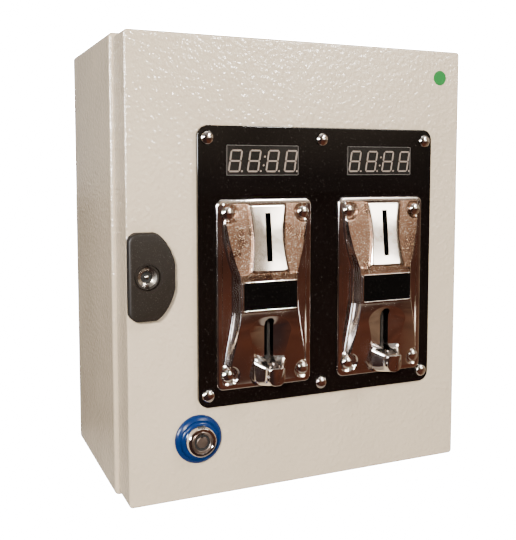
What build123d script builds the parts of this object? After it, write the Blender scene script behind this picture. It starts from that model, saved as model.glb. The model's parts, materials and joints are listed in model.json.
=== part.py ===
from build123d import *
import os

# Coin-operated charging control cabinet: a steel wall cabinet whose door carries two coin
# acceptors, two displays, a quarter-turn latch and a tubular-key lock. Millimetres, +Z up, front
# towards -Y, origin at the middle of the cabinet's footprint.

os.makedirs("parts", exist_ok=True)

# ---------------------------------------------------------------- driving dimensions
# Cabinet
body_w = 250.0
body_h = 300.0
overall_d = 150.0
sheet = 1.5
edge_r = 3.0
rim_bend_r = 2.5
rim_w = 22.0
lip_d = 21.0
lip_r = 6.0
# Door
door_inset = 2.3
door_d = 27.0
door_gap = 2.0
door_sheet = 1.5
door_r = 2.5
door_bend_r = 1.6
gasket_w = 6.0
# Fits
fit_gap = 0.3
running_gap = 0.05
thread_gap = 0.1
# Wall fixing and mounting plate
wall_hole_r = 4.25
wall_pitch_x = 200.0
wall_pitch_z = 250.0
plate_w = 186.0
plate_h = 230.0
plate_t = 2.0
plate_standoff = 12.0
stud_r = 3.0
stud_pitch_x = 160.0
stud_pitch_z = 206.0
# Cable glands on the right wall: the mains lead's, then the two charging leads'
gland_z = 36.0
gland_ahead = [22.5, 52.5, 80.5]
gland_thread_rs = [10.0, 8.0, 8.0]
gland_cable_rs = [4.5, 3.5, 3.5]
gland_flats_over_thread = 4.0
# Hinges on the right, pivot inside the door's rear corner
pivot_inset = 3.2
pivot_ahead = 5.6
hinge_pitch = 180.0
knuckle_r = 3.0
hinge_pin_r = 1.5
hinge_len = 30.0
hinge_mid = 14.0
# Black front panel
panel_w = 175.0
panel_h = 180.0
panel_x = 9.6
panel_up = 1.5
panel_t = 3.0
panel_r = 7.0
panel_screw_in_x = 6.4
panel_screw_in_z = 8.0
# Coin units, left and right
coin_x = {"left": -32.6, "right": 54.9}
coin_down = 16.4
face_w = 67.0
face_h = 123.0
face_t = 2.0
face_r = 4.5
face_screw_x = 26.5
face_screw_z = 52.1
slot_w = 3.9
slot_h = 31.0
window_w = 37.6
window_h = 18.2
window_t = 2.0
return_w = 6.4
housing_w = 44.0
housing_h = 112.0
housing_d = 68.0
coin_gap = 4.6
# Displays
display_w = 50.3
display_h = 19.0
display_shift_x = -0.6
display_up = 69.7
display_opening_gap = 0.6
# Screws
screw_r = 2.0
dome_r = 4.2
dome_h = 2.6
nut_flats = 7.0
nut_t = 3.2
# Latch
latch_in = 11.2
latch_down = 1.6
latch_half_h = 27.2
latch_reach = 29.1
latch_t = 7.0
latch_core_r = 7.8
latch_boss_r = 7.7
latch_shaft_r = 5.0
latch_cam_len = 17.0
latch_screw_up = 16.0
latch_screw_r = 1.5
latch_screw_head_r = 2.8
# Tubular-key lock
lock_in = 45.2
lock_up = 39.2
lock_ring_r = 15.7
lock_ring_t = 4.5
lock_face_r = 10.2
lock_face_t = 9.0
lock_barrel_r = 9.4
lock_plug_r = 7.0
lock_cam_len = 33.0
cam_t = 3.0
cam_half_w = 5.0
# Sticker
dot_in = 17.2
dot_down = 19.1
dot_r = 5.15
dot_t = 0.3
# Coin tray
tray_w = 160.0
tray_d = 72.0
tray_h = 44.0
tray_wall = 1.2

# ---------------------------------------------------------------- derived places
body_d = overall_d - door_d - door_gap
y_back = body_d / 2
y_front = -body_d / 2
y_door_rear = y_front - door_gap
y_door = y_door_rear - door_d
y_door_in = y_door + door_sheet
z_mid = body_h / 2
inner_w = body_w - 2 * sheet
inner_h = body_h - 2 * sheet
lip_w = body_w - 2 * rim_w
lip_h = body_h - 2 * rim_w
y_lip = y_front - lip_d
door_w = body_w - 2 * door_inset
door_h = body_h - 2 * door_inset
pivot_x = door_w / 2 - pivot_inset
pivot_y = y_door_rear - pivot_ahead
hinge_heights = [z_mid - hinge_pitch / 2, z_mid + hinge_pitch / 2]
panel_z = z_mid + panel_up
coin_z = z_mid - coin_down
display_z = z_mid + display_up
latch_x = -door_w / 2 + latch_in
latch_z = z_mid - latch_down
lock_x = -door_w / 2 + lock_in
lock_z = door_inset + lock_up
dot_x = door_w / 2 - dot_in
dot_z = body_h - door_inset - dot_down
y_plate = y_back - sheet - plate_standoff
y_plate_front = y_plate - plate_t
y_panel = y_door - panel_t
y_face = y_panel - face_t
y_cam = y_lip + 8.5
gland_ys = [y_back - ahead for ahead in gland_ahead]
gasket_w_out = lip_w + 2 * 0.6
gasket_h_out = lip_h + 2 * 0.6
display_xs = {side: x + display_shift_x for side, x in coin_x.items()}
panel_screws = [
    (panel_x + i * (panel_w / 2 - panel_screw_in_x), panel_z + j * (panel_h / 2 - panel_screw_in_z))
    for i in (-1, 0, 1)
    for j in (-1, 1)
]


def face_screws(side):
    """Centres of one coin face plate's four screws."""
    return [
        (coin_x[side] + i * face_screw_x, coin_z + 0.5 + j * face_screw_z) for i in (-1, 1) for j in (-1, 1)
    ]


# ---------------------------------------------------------------- helpers
def front_plane(y):
    """Upright plane at depth y: sketches in X and Z, and extrudes towards the front."""
    return Plane.XZ.offset(-y)


def side_plane(x):
    """Upright plane at x: sketches in Y and Z, and extrudes towards the right."""
    return Plane.YZ.offset(x)


def rods(centres, radius, y, length, mode=Mode.ADD):
    """Round rods running forwards from depth y."""
    with BuildSketch(front_plane(y)) as profile:
        with Locations(*centres):
            Circle(radius)
    extrude(profile.sketch, amount=length, mode=mode)


def hexes(centres, flats, y, length):
    """Hexagonal blocks running forwards from depth y."""
    with BuildSketch(front_plane(y)) as profile:
        with Locations(*centres):
            RegularPolygon(flats / 3**0.5, 6)
    extrude(profile.sketch, amount=length)


def block(x, y, z, mode=Mode.ADD):
    """A box between the two values given for each axis."""
    with BuildSketch(front_plane(max(y))) as profile:
        with Locations(((x[0] + x[1]) / 2, (z[0] + z[1]) / 2)):
            Rectangle(abs(x[1] - x[0]), abs(z[1] - z[0]))
    extrude(profile.sketch, amount=abs(y[1] - y[0]), mode=mode)


def plate(width, height, radius, y, thick, centre, mode=Mode.ADD):
    """A rounded rectangle running forwards from depth y."""
    with BuildSketch(front_plane(y)) as profile:
        with Locations(centre):
            RectangleRounded(width, height, radius)
    extrude(profile.sketch, amount=thick, mode=mode)


def keep(piece, name):
    """Label a finished piece and write it to its own file."""
    piece.part.label = name
    export_step(piece.part, f"parts/{name}.step")


middle = (0, z_mid)
latch_at = (latch_x, latch_z)
latch_screws_at = [(latch_x, latch_z + s * latch_screw_up) for s in (-1, 1)]
lock_at = (lock_x, lock_z)

# ---------------------------------------------------------------- cabinet
# The rim's lip is slotted where the latch's cam and the lock's cam swing through it.
cam_slot_d = cam_t + 2.0
lip_from_lock = lock_x + lip_w / 2 - sheet - 1
lock_cam_tip = (lock_cam_len**2 + cam_half_w**2) ** 0.5
keeper_slots = [
    (latch_z - cam_half_w - 2, latch_z + latch_cam_len + 1),
    (lock_z - cam_half_w - 2, lock_z + (lock_cam_tip**2 - lip_from_lock**2) ** 0.5 + 1.3),
]

with BuildPart() as cabinet_wrap:
    plate(body_w, body_h, edge_r, y_back, body_d, middle)
    fillet(cabinet_wrap.faces().sort_by(Axis.Y)[0].edges(), rim_bend_r)
    plate(inner_w, inner_h, edge_r - sheet, y_back, body_d - sheet, middle, Mode.SUBTRACT)
    plate(lip_w, lip_h, lip_r, y_front + sheet, sheet + lip_d, middle)
    plate(
        lip_w - 2 * sheet,
        lip_h - 2 * sheet,
        lip_r - sheet,
        y_front + sheet,
        sheet + lip_d,
        middle,
        Mode.SUBTRACT,
    )
    for low, high in keeper_slots:
        block(
            (-lip_w / 2 - 1, -lip_w / 2 + sheet + 1),
            (y_cam - cam_t - 1, y_cam + cam_slot_d - cam_t - 1),
            (low, high),
            Mode.SUBTRACT,
        )
    for y, r in zip(gland_ys, gland_thread_rs):
        with BuildSketch(side_plane(body_w / 2 - sheet - 1)):
            with Locations((y, gland_z)):
                Circle(r + fit_gap)
        extrude(amount=sheet + 2, mode=Mode.SUBTRACT)
keep(cabinet_wrap, "cabinet_wrap")

wall_holes = [(i * wall_pitch_x / 2, z_mid + j * wall_pitch_z / 2) for i in (-1, 1) for j in (-1, 1)]
with BuildPart() as back_panel:
    plate(inner_w, inner_h, edge_r - sheet, y_back, sheet, middle)
    rods(wall_holes, wall_hole_r, y_back, sheet, Mode.SUBTRACT)
keep(back_panel, "back_panel")

# ---------------------------------------------------------------- mounting plate
studs = [(i * stud_pitch_x / 2, z_mid + j * stud_pitch_z / 2) for i in (-1, 1) for j in (-1, 1)]
stud_nut_t = 5.0
stud_flats = 10.0
with BuildPart() as plate_studs:
    rods(studs, 2 * stud_r, y_back - sheet, plate_standoff)
    rods(studs, stud_r, y_plate, plate_t + stud_nut_t + 3)
keep(plate_studs, "plate_studs")

with BuildPart() as mounting_plate:
    plate(plate_w, plate_h, 3.0, y_plate, plate_t, middle)
    rods(studs, stud_r + fit_gap, y_plate, plate_t, Mode.SUBTRACT)
keep(mounting_plate, "mounting_plate")

with BuildPart() as plate_nuts:
    hexes(studs, stud_flats, y_plate_front, stud_nut_t)
    rods(studs, stud_r + thread_gap, y_plate_front, stud_nut_t, Mode.SUBTRACT)
keep(plate_nuts, "plate_nuts")

# ---------------------------------------------------------------- power supply
psu_x = (-76.0, 26.0)
psu_h = 76.0
psu_d = 30.0
psu_sheet = 1.2
psu_strip_w = 14.0
psu_mid_z = z_mid - 50.0
psu_z = (psu_mid_z - psu_h / 2, psu_mid_z + psu_h / 2)
y_psu = y_plate_front - psu_d
with BuildPart() as power_supply_base:
    block(psu_x, (y_plate_front, y_plate_front - psu_sheet), psu_z)
    for z in (psu_z[0], psu_z[1] - psu_sheet):
        block(psu_x, (y_plate_front, y_psu + psu_sheet), (z, z + psu_sheet))
keep(power_supply_base, "power_supply_base")

cover_x = (psu_x[0], psu_x[1] - psu_strip_w)
with BuildPart() as power_supply_cover:
    block(cover_x, (y_psu + psu_sheet, y_psu), psu_z)
    block(
        (cover_x[0], cover_x[0] + psu_sheet),
        (y_plate_front - psu_sheet, y_psu + psu_sheet),
        (psu_z[0] + psu_sheet, psu_z[1] - psu_sheet),
    )
    with BuildSketch(front_plane(y_psu + psu_sheet)):
        with Locations(((cover_x[0] + cover_x[1]) / 2, psu_mid_z)):
            with GridLocations(9.0, 7.0, 8, 9):
                SlotOverall(6.0, 2.6)
    extrude(amount=psu_sheet, mode=Mode.SUBTRACT)
keep(power_supply_cover, "power_supply_cover")

strip_z = (psu_z[0] + 4, psu_z[1] - 4)
with BuildPart() as power_supply_terminals:
    block((psu_x[1] - psu_strip_w + 1, psu_x[1]), (y_plate_front - psu_sheet, y_psu + 10), strip_z)
    for i in range(7):
        z = strip_z[0] + 2 + i * (strip_z[1] - strip_z[0] - 3) / 7
        block((psu_x[1] - psu_strip_w + 4, psu_x[1]), (y_psu + 14, y_psu + 10), (z, z + 7), Mode.SUBTRACT)
keep(power_supply_terminals, "power_supply_terminals")

# ---------------------------------------------------------------- rail and terminal blocks
rail_x = (36.0, 90.0)
rail_z = z_mid - 50.0
rail_h = 35.0
rail_d = 7.5
rail_t = 1.0
with BuildPart() as terminal_rail:
    block(rail_x, (y_plate_front, y_plate_front - rail_t), (rail_z - 12.5, rail_z + 12.5))
    for s in (-1, 1):
        block(
            rail_x, (y_plate_front, y_plate_front - rail_d), (rail_z + s * 12.5, rail_z + s * (12.5 - rail_t))
        )
        block(
            rail_x,
            (y_plate_front - rail_d + rail_t, y_plate_front - rail_d),
            (rail_z + s * (12.5 - rail_t), rail_z + s * rail_h / 2),
        )
keep(terminal_rail, "terminal_rail")

terminal_w = 6.0
terminal_count = 7
terminal_h = 44.0
terminal_d = 20.0
y_rail_front = y_plate_front - rail_d
with BuildPart() as terminal_blocks:
    for i in range(terminal_count):
        x = rail_x[0] + 4 + i * (terminal_w + fit_gap)
        block(
            (x, x + terminal_w),
            (y_rail_front, y_rail_front - terminal_d),
            (rail_z - terminal_h / 2, rail_z + terminal_h / 2),
        )
        for s in (-1, 1):
            with BuildSketch(front_plane(y_rail_front - terminal_d + 4)):
                with Locations((x + terminal_w / 2, rail_z + s * 14)):
                    Circle(2.0)
            extrude(amount=4, mode=Mode.SUBTRACT)
keep(terminal_blocks, "terminal_blocks")

# ---------------------------------------------------------------- control board
board_x = 0.0
board_z = z_mid + 58.0
board_w = 116.0
board_h = 84.0
board_t = 1.6
board_standoff = 8.0
board_screw_r = 1.5
board_head_r = 2.8
y_board = y_plate_front - board_standoff
y_board_front = y_board - board_t
board_posts = [
    (board_x + i * (board_w / 2 - 5), board_z + j * (board_h / 2 - 5)) for i in (-1, 1) for j in (-1, 1)
]
with BuildPart() as board_standoffs:
    hexes(board_posts, 5.5, y_plate_front, board_standoff)
    rods(board_posts, board_screw_r, y_board, board_t)
    rods(board_posts, board_head_r, y_board_front, 1.8)
keep(board_standoffs, "board_standoffs")

with BuildPart() as control_board:
    plate(board_w, board_h, 3.0, y_board, board_t, (board_x, board_z))
    rods(board_posts, board_screw_r + thread_gap, y_board, board_t, Mode.SUBTRACT)
keep(control_board, "control_board")

with BuildPart() as charging_relays:
    for x in (-26.0, 4.0):
        block((x, x + 19), (y_board_front, y_board_front - 15.5), (board_z - 30, board_z - 15))
keep(charging_relays, "charging_relays")

with BuildPart() as board_terminals:
    for x in (-40.0, 0.0):
        block((x, x + 30), (y_board_front, y_board_front - 12), (board_z + 28, board_z + 38))
        for i in range(6):
            with BuildSketch(front_plane(y_board_front - 9)):
                with Locations((x + 2.5 + i * 5, board_z + 33)):
                    Circle(1.6)
            extrude(amount=3, mode=Mode.SUBTRACT)
keep(board_terminals, "board_terminals")

with BuildPart() as board_chips:
    block((-30, -12), (y_board_front, y_board_front - 3), (board_z - 4, board_z + 14))
    block((2, 22), (y_board_front, y_board_front - 3.2), (board_z + 2, board_z + 10))
    rods([(34, board_z + 12), (34, board_z - 2)], 4.0, y_board_front, 11)
keep(board_chips, "board_chips")

# ---------------------------------------------------------------- earth stud
earth_at = (-104.0, 40.0)
with BuildPart() as earth_stud:
    rods([earth_at], 2 * stud_r, y_back - sheet, 3)
    rods([earth_at], stud_r, y_back - sheet - 3, 22)
    hexes([earth_at], stud_flats, y_back - sheet - 8, stud_nut_t)
keep(earth_stud, "earth_stud")

# ---------------------------------------------------------------- coin tray
tray_y = (y_front + sheet + fit_gap, y_front + sheet + fit_gap + tray_d)
with BuildPart() as coin_tray:
    block((-tray_w / 2, tray_w / 2), tray_y, (sheet, sheet + tray_h))
    fillet(coin_tray.edges().filter_by(Axis.Z), 4)
    block(
        (-tray_w / 2 + tray_wall, tray_w / 2 - tray_wall),
        (tray_y[0] + tray_wall, tray_y[1] - tray_wall),
        (sheet + tray_wall, sheet + tray_h),
        Mode.SUBTRACT,
    )
keep(coin_tray, "coin_tray")

# ---------------------------------------------------------------- cable glands
x_wall = body_w / 2
gland_flange_t = 5.0
gland_neck = 5.0
gland_nut_t = 4.0
dome_len = 13.0


def along_x(y, radius, x, length, mode=Mode.ADD):
    """A round rod running right from x at the glands' height."""
    with BuildSketch(side_plane(x)) as profile:
        with Locations((y, gland_z)):
            Circle(radius)
    extrude(profile.sketch, amount=length, mode=mode)


def hex_along_x(y, flats, x, length):
    """A hexagonal block running right from x at the glands' height."""
    with BuildSketch(side_plane(x)) as profile:
        with Locations((y, gland_z)):
            RegularPolygon(flats / 3**0.5, 6)
    extrude(profile.sketch, amount=length)


glands = list(zip(gland_ys, gland_thread_rs, gland_cable_rs))
x_neck = x_wall + gland_flange_t
with BuildPart() as gland_bodies:
    for y, thread, cable in glands:
        hex_along_x(y, 2 * thread + gland_flats_over_thread, x_wall, gland_flange_t)
        along_x(y, thread, x_wall - sheet - gland_nut_t - 2, sheet + gland_nut_t + 2)
        along_x(y, thread - 1, x_neck, gland_neck)
        along_x(y, cable + 2, x_wall - sheet - gland_nut_t - 3, 40, Mode.SUBTRACT)
keep(gland_bodies, "gland_bodies")

with BuildPart() as gland_lock_nuts:
    for y, thread, cable in glands:
        hex_along_x(y, 2 * thread + gland_flats_over_thread, x_wall - sheet - gland_nut_t, gland_nut_t)
        along_x(y, thread + thread_gap, x_wall - sheet - gland_nut_t, gland_nut_t, Mode.SUBTRACT)
keep(gland_lock_nuts, "gland_lock_nuts")

with BuildPart() as gland_caps:
    for y, thread, cable in glands:
        hex_along_x(y, 2 * thread + gland_flats_over_thread - 2, x_neck + 0.5, dome_len - 4)
        with BuildSketch(side_plane(x_neck + dome_len - 3.5)):
            with Locations((y, gland_z)):
                Circle(thread + 0.9)
        extrude(amount=4, taper=35)
        along_x(y, thread - 1 + thread_gap, x_neck + 0.5, gland_neck - 0.5, Mode.SUBTRACT)
        along_x(y, cable + 2, x_neck, dome_len + 8, Mode.SUBTRACT)
keep(gland_caps, "gland_caps")

with BuildPart() as gland_seals:
    for y, thread, cable in glands:
        along_x(y, cable + 2 - thread_gap, x_neck - 1, dome_len - 1)
        along_x(y, cable, x_neck - 1, dome_len - 1, Mode.SUBTRACT)
keep(gland_seals, "gland_seals")

# ---------------------------------------------------------------- door
door_in_w = door_w - 2 * door_sheet
door_in_h = door_h - 2 * door_sheet
housing_hole_w = housing_w + 2
housing_hole_h = housing_h + 2
notch_h = hinge_len + 3
notch_d = pivot_ahead + knuckle_r + 0.6
opening_w = display_w + 2 * display_opening_gap
opening_h = display_h + display_opening_gap
with BuildPart() as door_pan:
    plate(door_w, door_h, door_r, y_door_rear, door_d, middle)
    fillet(door_pan.faces().sort_by(Axis.Y)[0].edges(), door_bend_r)
    plate(door_in_w, door_in_h, door_r - door_sheet, y_door_rear, door_d - door_sheet, middle, Mode.SUBTRACT)
    for side in coin_x:
        block(
            (coin_x[side] - housing_hole_w / 2, coin_x[side] + housing_hole_w / 2),
            (y_door_in, y_door),
            (coin_z - housing_hole_h / 2, coin_z + housing_hole_h / 2),
            Mode.SUBTRACT,
        )
        block(
            (display_xs[side] - opening_w / 2, display_xs[side] + opening_w / 2),
            (y_door_in, y_door),
            (display_z - opening_h / 2, display_z + opening_h / 2),
            Mode.SUBTRACT,
        )
        rods(face_screws(side), screw_r + fit_gap, y_door_in, door_sheet, Mode.SUBTRACT)
    rods(panel_screws, screw_r + fit_gap, y_door_in, door_sheet, Mode.SUBTRACT)
    rods([latch_at], latch_boss_r + fit_gap, y_door_in, door_sheet, Mode.SUBTRACT)
    rods(latch_screws_at, latch_screw_r + fit_gap, y_door_in, door_sheet, Mode.SUBTRACT)
    rods([lock_at], lock_barrel_r + fit_gap, y_door_in, door_sheet, Mode.SUBTRACT)
    for z in hinge_heights:
        block(
            (door_w / 2 - door_sheet - 1, door_w / 2 + 1),
            (y_door_rear, y_door_rear - notch_d),
            (z - notch_h / 2, z + notch_h / 2),
            Mode.SUBTRACT,
        )
keep(door_pan, "door_pan")

with BuildPart() as door_gasket:
    gasket_t = y_lip - y_door_in
    plate(gasket_w_out, gasket_h_out, lip_r, y_lip, gasket_t, middle)
    plate(
        gasket_w_out - 2 * gasket_w, gasket_h_out - 2 * gasket_w, 2.0, y_lip, gasket_t, middle, Mode.SUBTRACT
    )
keep(door_gasket, "door_gasket")

with BuildPart() as green_sticker:
    rods([(dot_x, dot_z)], dot_r, y_door, dot_t)
keep(green_sticker, "green_sticker")

# ---------------------------------------------------------------- hinges
knuckle_hole_r = hinge_pin_r + running_gap
outer_knuckle = (hinge_len - hinge_mid) / 2 - fit_gap
leaf_t = 1.5
web_half_w = 1.5
foot_t = 1.5


def upright(radius, z, length, mode=Mode.ADD):
    """A round rod on the hinge axis, from z upwards."""
    with BuildSketch(Plane.XY.offset(z)) as profile:
        with Locations((pivot_x, pivot_y)):
            Circle(radius)
    extrude(profile.sketch, amount=length, mode=mode)


with BuildPart() as cabinet_hinge_leaves:
    for z in hinge_heights:
        for low in (z - hinge_len / 2, z + hinge_len / 2 - outer_knuckle):
            high = low + outer_knuckle
            upright(knuckle_r, low, outer_knuckle)
            block((pivot_x - web_half_w, pivot_x + web_half_w), (pivot_y, y_front), (low, high))
            block((pivot_x - 6, pivot_x + 4), (y_front - foot_t, y_front), (low, high))
            upright(knuckle_hole_r, low, outer_knuckle, Mode.SUBTRACT)
keep(cabinet_hinge_leaves, "cabinet_hinge_leaves")

x_leaf = door_w / 2 - door_sheet - leaf_t
with BuildPart() as door_hinge_leaves:
    for z in hinge_heights:
        low = z - hinge_mid / 2
        upright(knuckle_r, low, hinge_mid)
        block((x_leaf, x_leaf + leaf_t), (pivot_y, y_door_in + 4), (low, low + hinge_mid))
        block(
            (x_leaf, x_leaf + leaf_t),
            (pivot_y - knuckle_r - 0.5, y_door_in + 4),
            (z - hinge_len / 2, z + hinge_len / 2),
        )
        upright(knuckle_hole_r, low, hinge_mid, Mode.SUBTRACT)
keep(door_hinge_leaves, "door_hinge_leaves")

with BuildPart() as hinge_pins:
    for z in hinge_heights:
        upright(hinge_pin_r, z - hinge_len / 2 - 0.5, hinge_len + 0.5)
        upright(knuckle_r - 0.2, z + hinge_len / 2, 1.2)
keep(hinge_pins, "hinge_pins")

# ---------------------------------------------------------------- front panel and displays
with BuildPart() as front_panel:
    plate(panel_w, panel_h, panel_r, y_door, panel_t, (panel_x, panel_z))
    fillet(front_panel.faces().sort_by(Axis.Y)[0].edges(), 0.6)
    for side in coin_x:
        block(
            (coin_x[side] - housing_hole_w / 2, coin_x[side] + housing_hole_w / 2),
            (y_door, y_panel),
            (coin_z - housing_hole_h / 2, coin_z + housing_hole_h / 2),
            Mode.SUBTRACT,
        )
        block(
            (display_xs[side] - opening_w / 2, display_xs[side] + opening_w / 2),
            (y_door, y_panel),
            (display_z - opening_h / 2, display_z + opening_h / 2),
            Mode.SUBTRACT,
        )
        rods(face_screws(side), screw_r + fit_gap, y_door, panel_t, Mode.SUBTRACT)
    rods(panel_screws, screw_r + fit_gap, y_door, panel_t, Mode.SUBTRACT)
keep(front_panel, "front_panel")


def screws(centres, y_seat, length):
    """Screws with disc heads seated at y_seat and shanks running backwards."""
    rods(centres, screw_r, y_seat + length, length)
    rods(centres, dome_r, y_seat, dome_h)


def nuts(centres, y_seat):
    """Hexagon nuts lying against y_seat on its rear side."""
    hexes(centres, nut_flats, y_seat + nut_t, nut_t)
    rods(centres, screw_r + thread_gap, y_seat + nut_t, nut_t, Mode.SUBTRACT)


screw_end = 1.5
with BuildPart() as panel_screw_set:
    screws(panel_screws, y_panel, panel_t + door_sheet + nut_t + screw_end)
    fillet(panel_screw_set.edges().group_by(Axis.Y)[0], dome_h - 0.4)
keep(panel_screw_set, "panel_screws")

display_t = 6.5
y_display_rear = y_panel + display_t
with BuildPart() as display_boards:
    for x in display_xs.values():
        block((x - 31, x + 31), (y_display_rear + 1.6, y_display_rear), (display_z - 12, display_z + 12))
        block((x - 16, x + 16), (y_display_rear + 4.1, y_display_rear + 1.6), (display_z - 6, display_z + 6))
keep(display_boards, "display_boards")

for side, x in display_xs.items():
    with BuildPart() as display:
        block(
            (x - display_w / 2, x + display_w / 2),
            (y_display_rear, y_panel + 0.4),
            (display_z - display_h / 2, display_z + display_h / 2),
        )
    keep(display, f"{side}_display")

# ---------------------------------------------------------------- coin face plates
# The shield's outline and side profile are given from its own middle line, ref_z, with heights
# counted forwards from the flange's front face.
ref_z = coin_z + 16.4
shield_top = ref_z + 42.0
shield_waist_top = ref_z - 3.0
shield_waist_low = ref_z - 27.0
shield_foot = ref_z - 75.0
shield_top_half = 29.0
shield_waist_half = 20.4
shield_foot_half = 28.2
shield_bulge = 9.0
window_mid = ref_z - 16.6
window_floor = 6.6
slot_mid = ref_z + 20.7
block_half = 12.6
block_waist = 10.4
block_top = ref_z + 42.0
block_mid = ref_z + 20.5
block_foot = ref_z - 1.0
scoop_top = ref_z - 29.6
scoop_foot = ref_z - 57.0
scoop_half = 14.4
scoop_foot_half = 10.3
return_foot = ref_z - 58.0
return_top = scoop_top - 1.5
spout_z = ref_z - 63.5
spout_w = 22.0
spout_base_w = 20.0
spout_base_h = 8.0
spout_h = 20.0
nose_z = ref_z - 66.5
nose_w = 10.6
nose_h = 13.0
nose_wall = 3.2
seat_h = 1.0


def at_height(h):
    """Depth of a point h in front of the flange's face."""
    return y_face - h


def arch(cx, half, foot_half, top, foot):
    """Edges of an arched opening: a round head over two sloping sides."""
    spring = top - 0.6 * half
    Line((cx - foot_half, foot), (cx + foot_half, foot))
    Line((cx + foot_half, foot), (cx + half, spring))
    ThreePointArc((cx + half, spring), (cx, top), (cx - half, spring))
    Line((cx - half, spring), (cx - foot_half, foot))


for side, cx in coin_x.items():
    with BuildPart() as face_plate:
        # hourglass shield, cut to its bulging side profile
        with BuildSketch(front_plane(y_face)):
            with BuildLine():
                for s in (-1, 1):
                    Spline(
                        (cx + s * shield_top_half, shield_top),
                        (cx + s * (shield_top_half - 0.6), shield_top - 13),
                        (cx + s * (shield_waist_half + 3.6), shield_waist_top + 11),
                        (cx + s * shield_waist_half, shield_waist_top),
                    )
                    Line(
                        (cx + s * shield_waist_half, shield_waist_top),
                        (cx + s * shield_waist_half, shield_waist_low),
                    )
                    Spline(
                        (cx + s * shield_waist_half, shield_waist_low),
                        (cx + s * (shield_waist_half + 2.6), shield_waist_low - 15),
                        (cx + s * (shield_foot_half - 0.9), shield_foot + 10),
                        (cx + s * shield_foot_half, shield_foot),
                    )
                Line((cx - shield_top_half, shield_top), (cx + shield_top_half, shield_top))
                Line((cx - shield_foot_half, shield_foot), (cx + shield_foot_half, shield_foot))
            make_face()
        extrude(amount=shield_bulge + 4)
        with BuildSketch(side_plane(cx - face_w)):
            with BuildLine():
                Spline(
                    (at_height(1.0), shield_top + 1),
                    (at_height(2.6), shield_top - 11),
                    (at_height(4.2), shield_top - 24),
                    (at_height(7.4), shield_waist_top),
                )
                Polyline(
                    (at_height(7.4), shield_waist_top),
                    (at_height(8.2), shield_waist_top - 3),
                    (at_height(shield_bulge), shield_waist_low),
                )
                Spline(
                    (at_height(shield_bulge), shield_waist_low),
                    (at_height(shield_bulge + 0.6), shield_waist_low - 11),
                    (at_height(7.6), shield_waist_low - 28),
                    (at_height(0.8), shield_foot - 1),
                )
                Polyline(
                    (at_height(0.8), shield_foot - 1),
                    (y_face + 1, shield_foot - 1),
                    (y_face + 1, shield_top + 1),
                    (at_height(1.0), shield_top + 1),
                )
            make_face()
        extrude(amount=2 * face_w, mode=Mode.INTERSECT)
        # return scoop
        with BuildSketch(front_plane(at_height(shield_bulge + 3))):
            with BuildLine():
                arch(cx, scoop_half + 1, scoop_foot_half + 1, scoop_top + 0.6, scoop_foot)
            make_face()
        with BuildSketch(front_plane(at_height(0.6))):
            with BuildLine():
                arch(cx, return_w / 2 + 1, return_w / 2 + 1, scoop_top - 2, scoop_foot)
            make_face()
        loft(mode=Mode.SUBTRACT)
        # slot block, waisted
        with BuildSketch(front_plane(y_face)):
            with BuildLine():
                for s, start, end in ((1, block_top, block_foot), (-1, block_foot, block_top)):
                    ThreePointArc(
                        (cx + s * block_half, start),
                        (cx + s * block_waist, block_mid),
                        (cx + s * block_half, end),
                    )
                for z in (block_top, block_foot):
                    Line((cx - block_half, z), (cx + block_half, z))
            make_face()
        slot_block = extrude(amount=shield_bulge, mode=Mode.PRIVATE)
        with BuildSketch(side_plane(cx - 20)):
            with BuildLine():
                ThreePointArc(
                    (at_height(3.0), block_top), (at_height(5.0), block_mid), (at_height(8.6), block_foot)
                )
                Polyline(
                    (at_height(8.6), block_foot),
                    (y_face + 1, block_foot),
                    (y_face + 1, block_top),
                    (at_height(3.0), block_top),
                )
            make_face()
        block_cutter = extrude(amount=40, mode=Mode.PRIVATE)
        add(slot_block & block_cutter)
        # spout: straight base, then tapering to the nose
        with BuildSketch(front_plane(y_face)):
            with Locations((cx, spout_z)):
                RectangleRounded(spout_w, spout_base_w, 3.0)
        extrude(amount=spout_base_h)
        with BuildSketch(front_plane(at_height(spout_base_h))):
            with Locations((cx, spout_z)):
                RectangleRounded(spout_w, spout_base_w, 3.0)
        with BuildSketch(front_plane(at_height(spout_h))):
            with Locations((cx, nose_z)):
                RectangleRounded(nose_w, nose_h, 4.0)
        loft()
        # flange
        plate(face_w, face_h, face_r, y_panel, face_t, (cx, coin_z))
        # coin return channel and the trough in the spout
        with BuildSketch(side_plane(cx - return_w / 2)):
            with BuildLine():
                Polyline(
                    (y_panel + 1, return_top),
                    (at_height(spout_h + 2), return_top),
                    (at_height(spout_h + 2), ref_z - 59.5),
                    (at_height(spout_h - nose_wall), ref_z - 59.5),
                    (at_height(spout_h - nose_wall), ref_z - 66),
                    (at_height(spout_h - nose_wall - 5), ref_z - 69),
                    (at_height(4), ref_z - 66),
                    (y_panel + 1, return_foot - 1.5),
                    (y_panel + 1, return_top),
                )
            make_face()
        extrude(amount=return_w, mode=Mode.SUBTRACT)
        # coin slot, window pocket, screw seats and holes
        block(
            (cx - slot_w / 2, cx + slot_w / 2),
            (y_panel + 1, at_height(shield_bulge + 3)),
            (slot_mid - slot_h / 2, slot_mid + slot_h / 2),
            Mode.SUBTRACT,
        )
        block(
            (cx - window_w / 2 - thread_gap, cx + window_w / 2 + thread_gap),
            (at_height(window_floor), at_height(shield_bulge + 3)),
            (window_mid - window_h / 2 - thread_gap, window_mid + window_h / 2 + thread_gap),
            Mode.SUBTRACT,
        )
        rods(face_screws(side), dome_r + 0.5, at_height(seat_h), shield_bulge, Mode.SUBTRACT)
        rods(face_screws(side), screw_r + fit_gap, y_panel, face_t + seat_h, Mode.SUBTRACT)
    keep(face_plate, f"{side}_face_plate")

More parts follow.
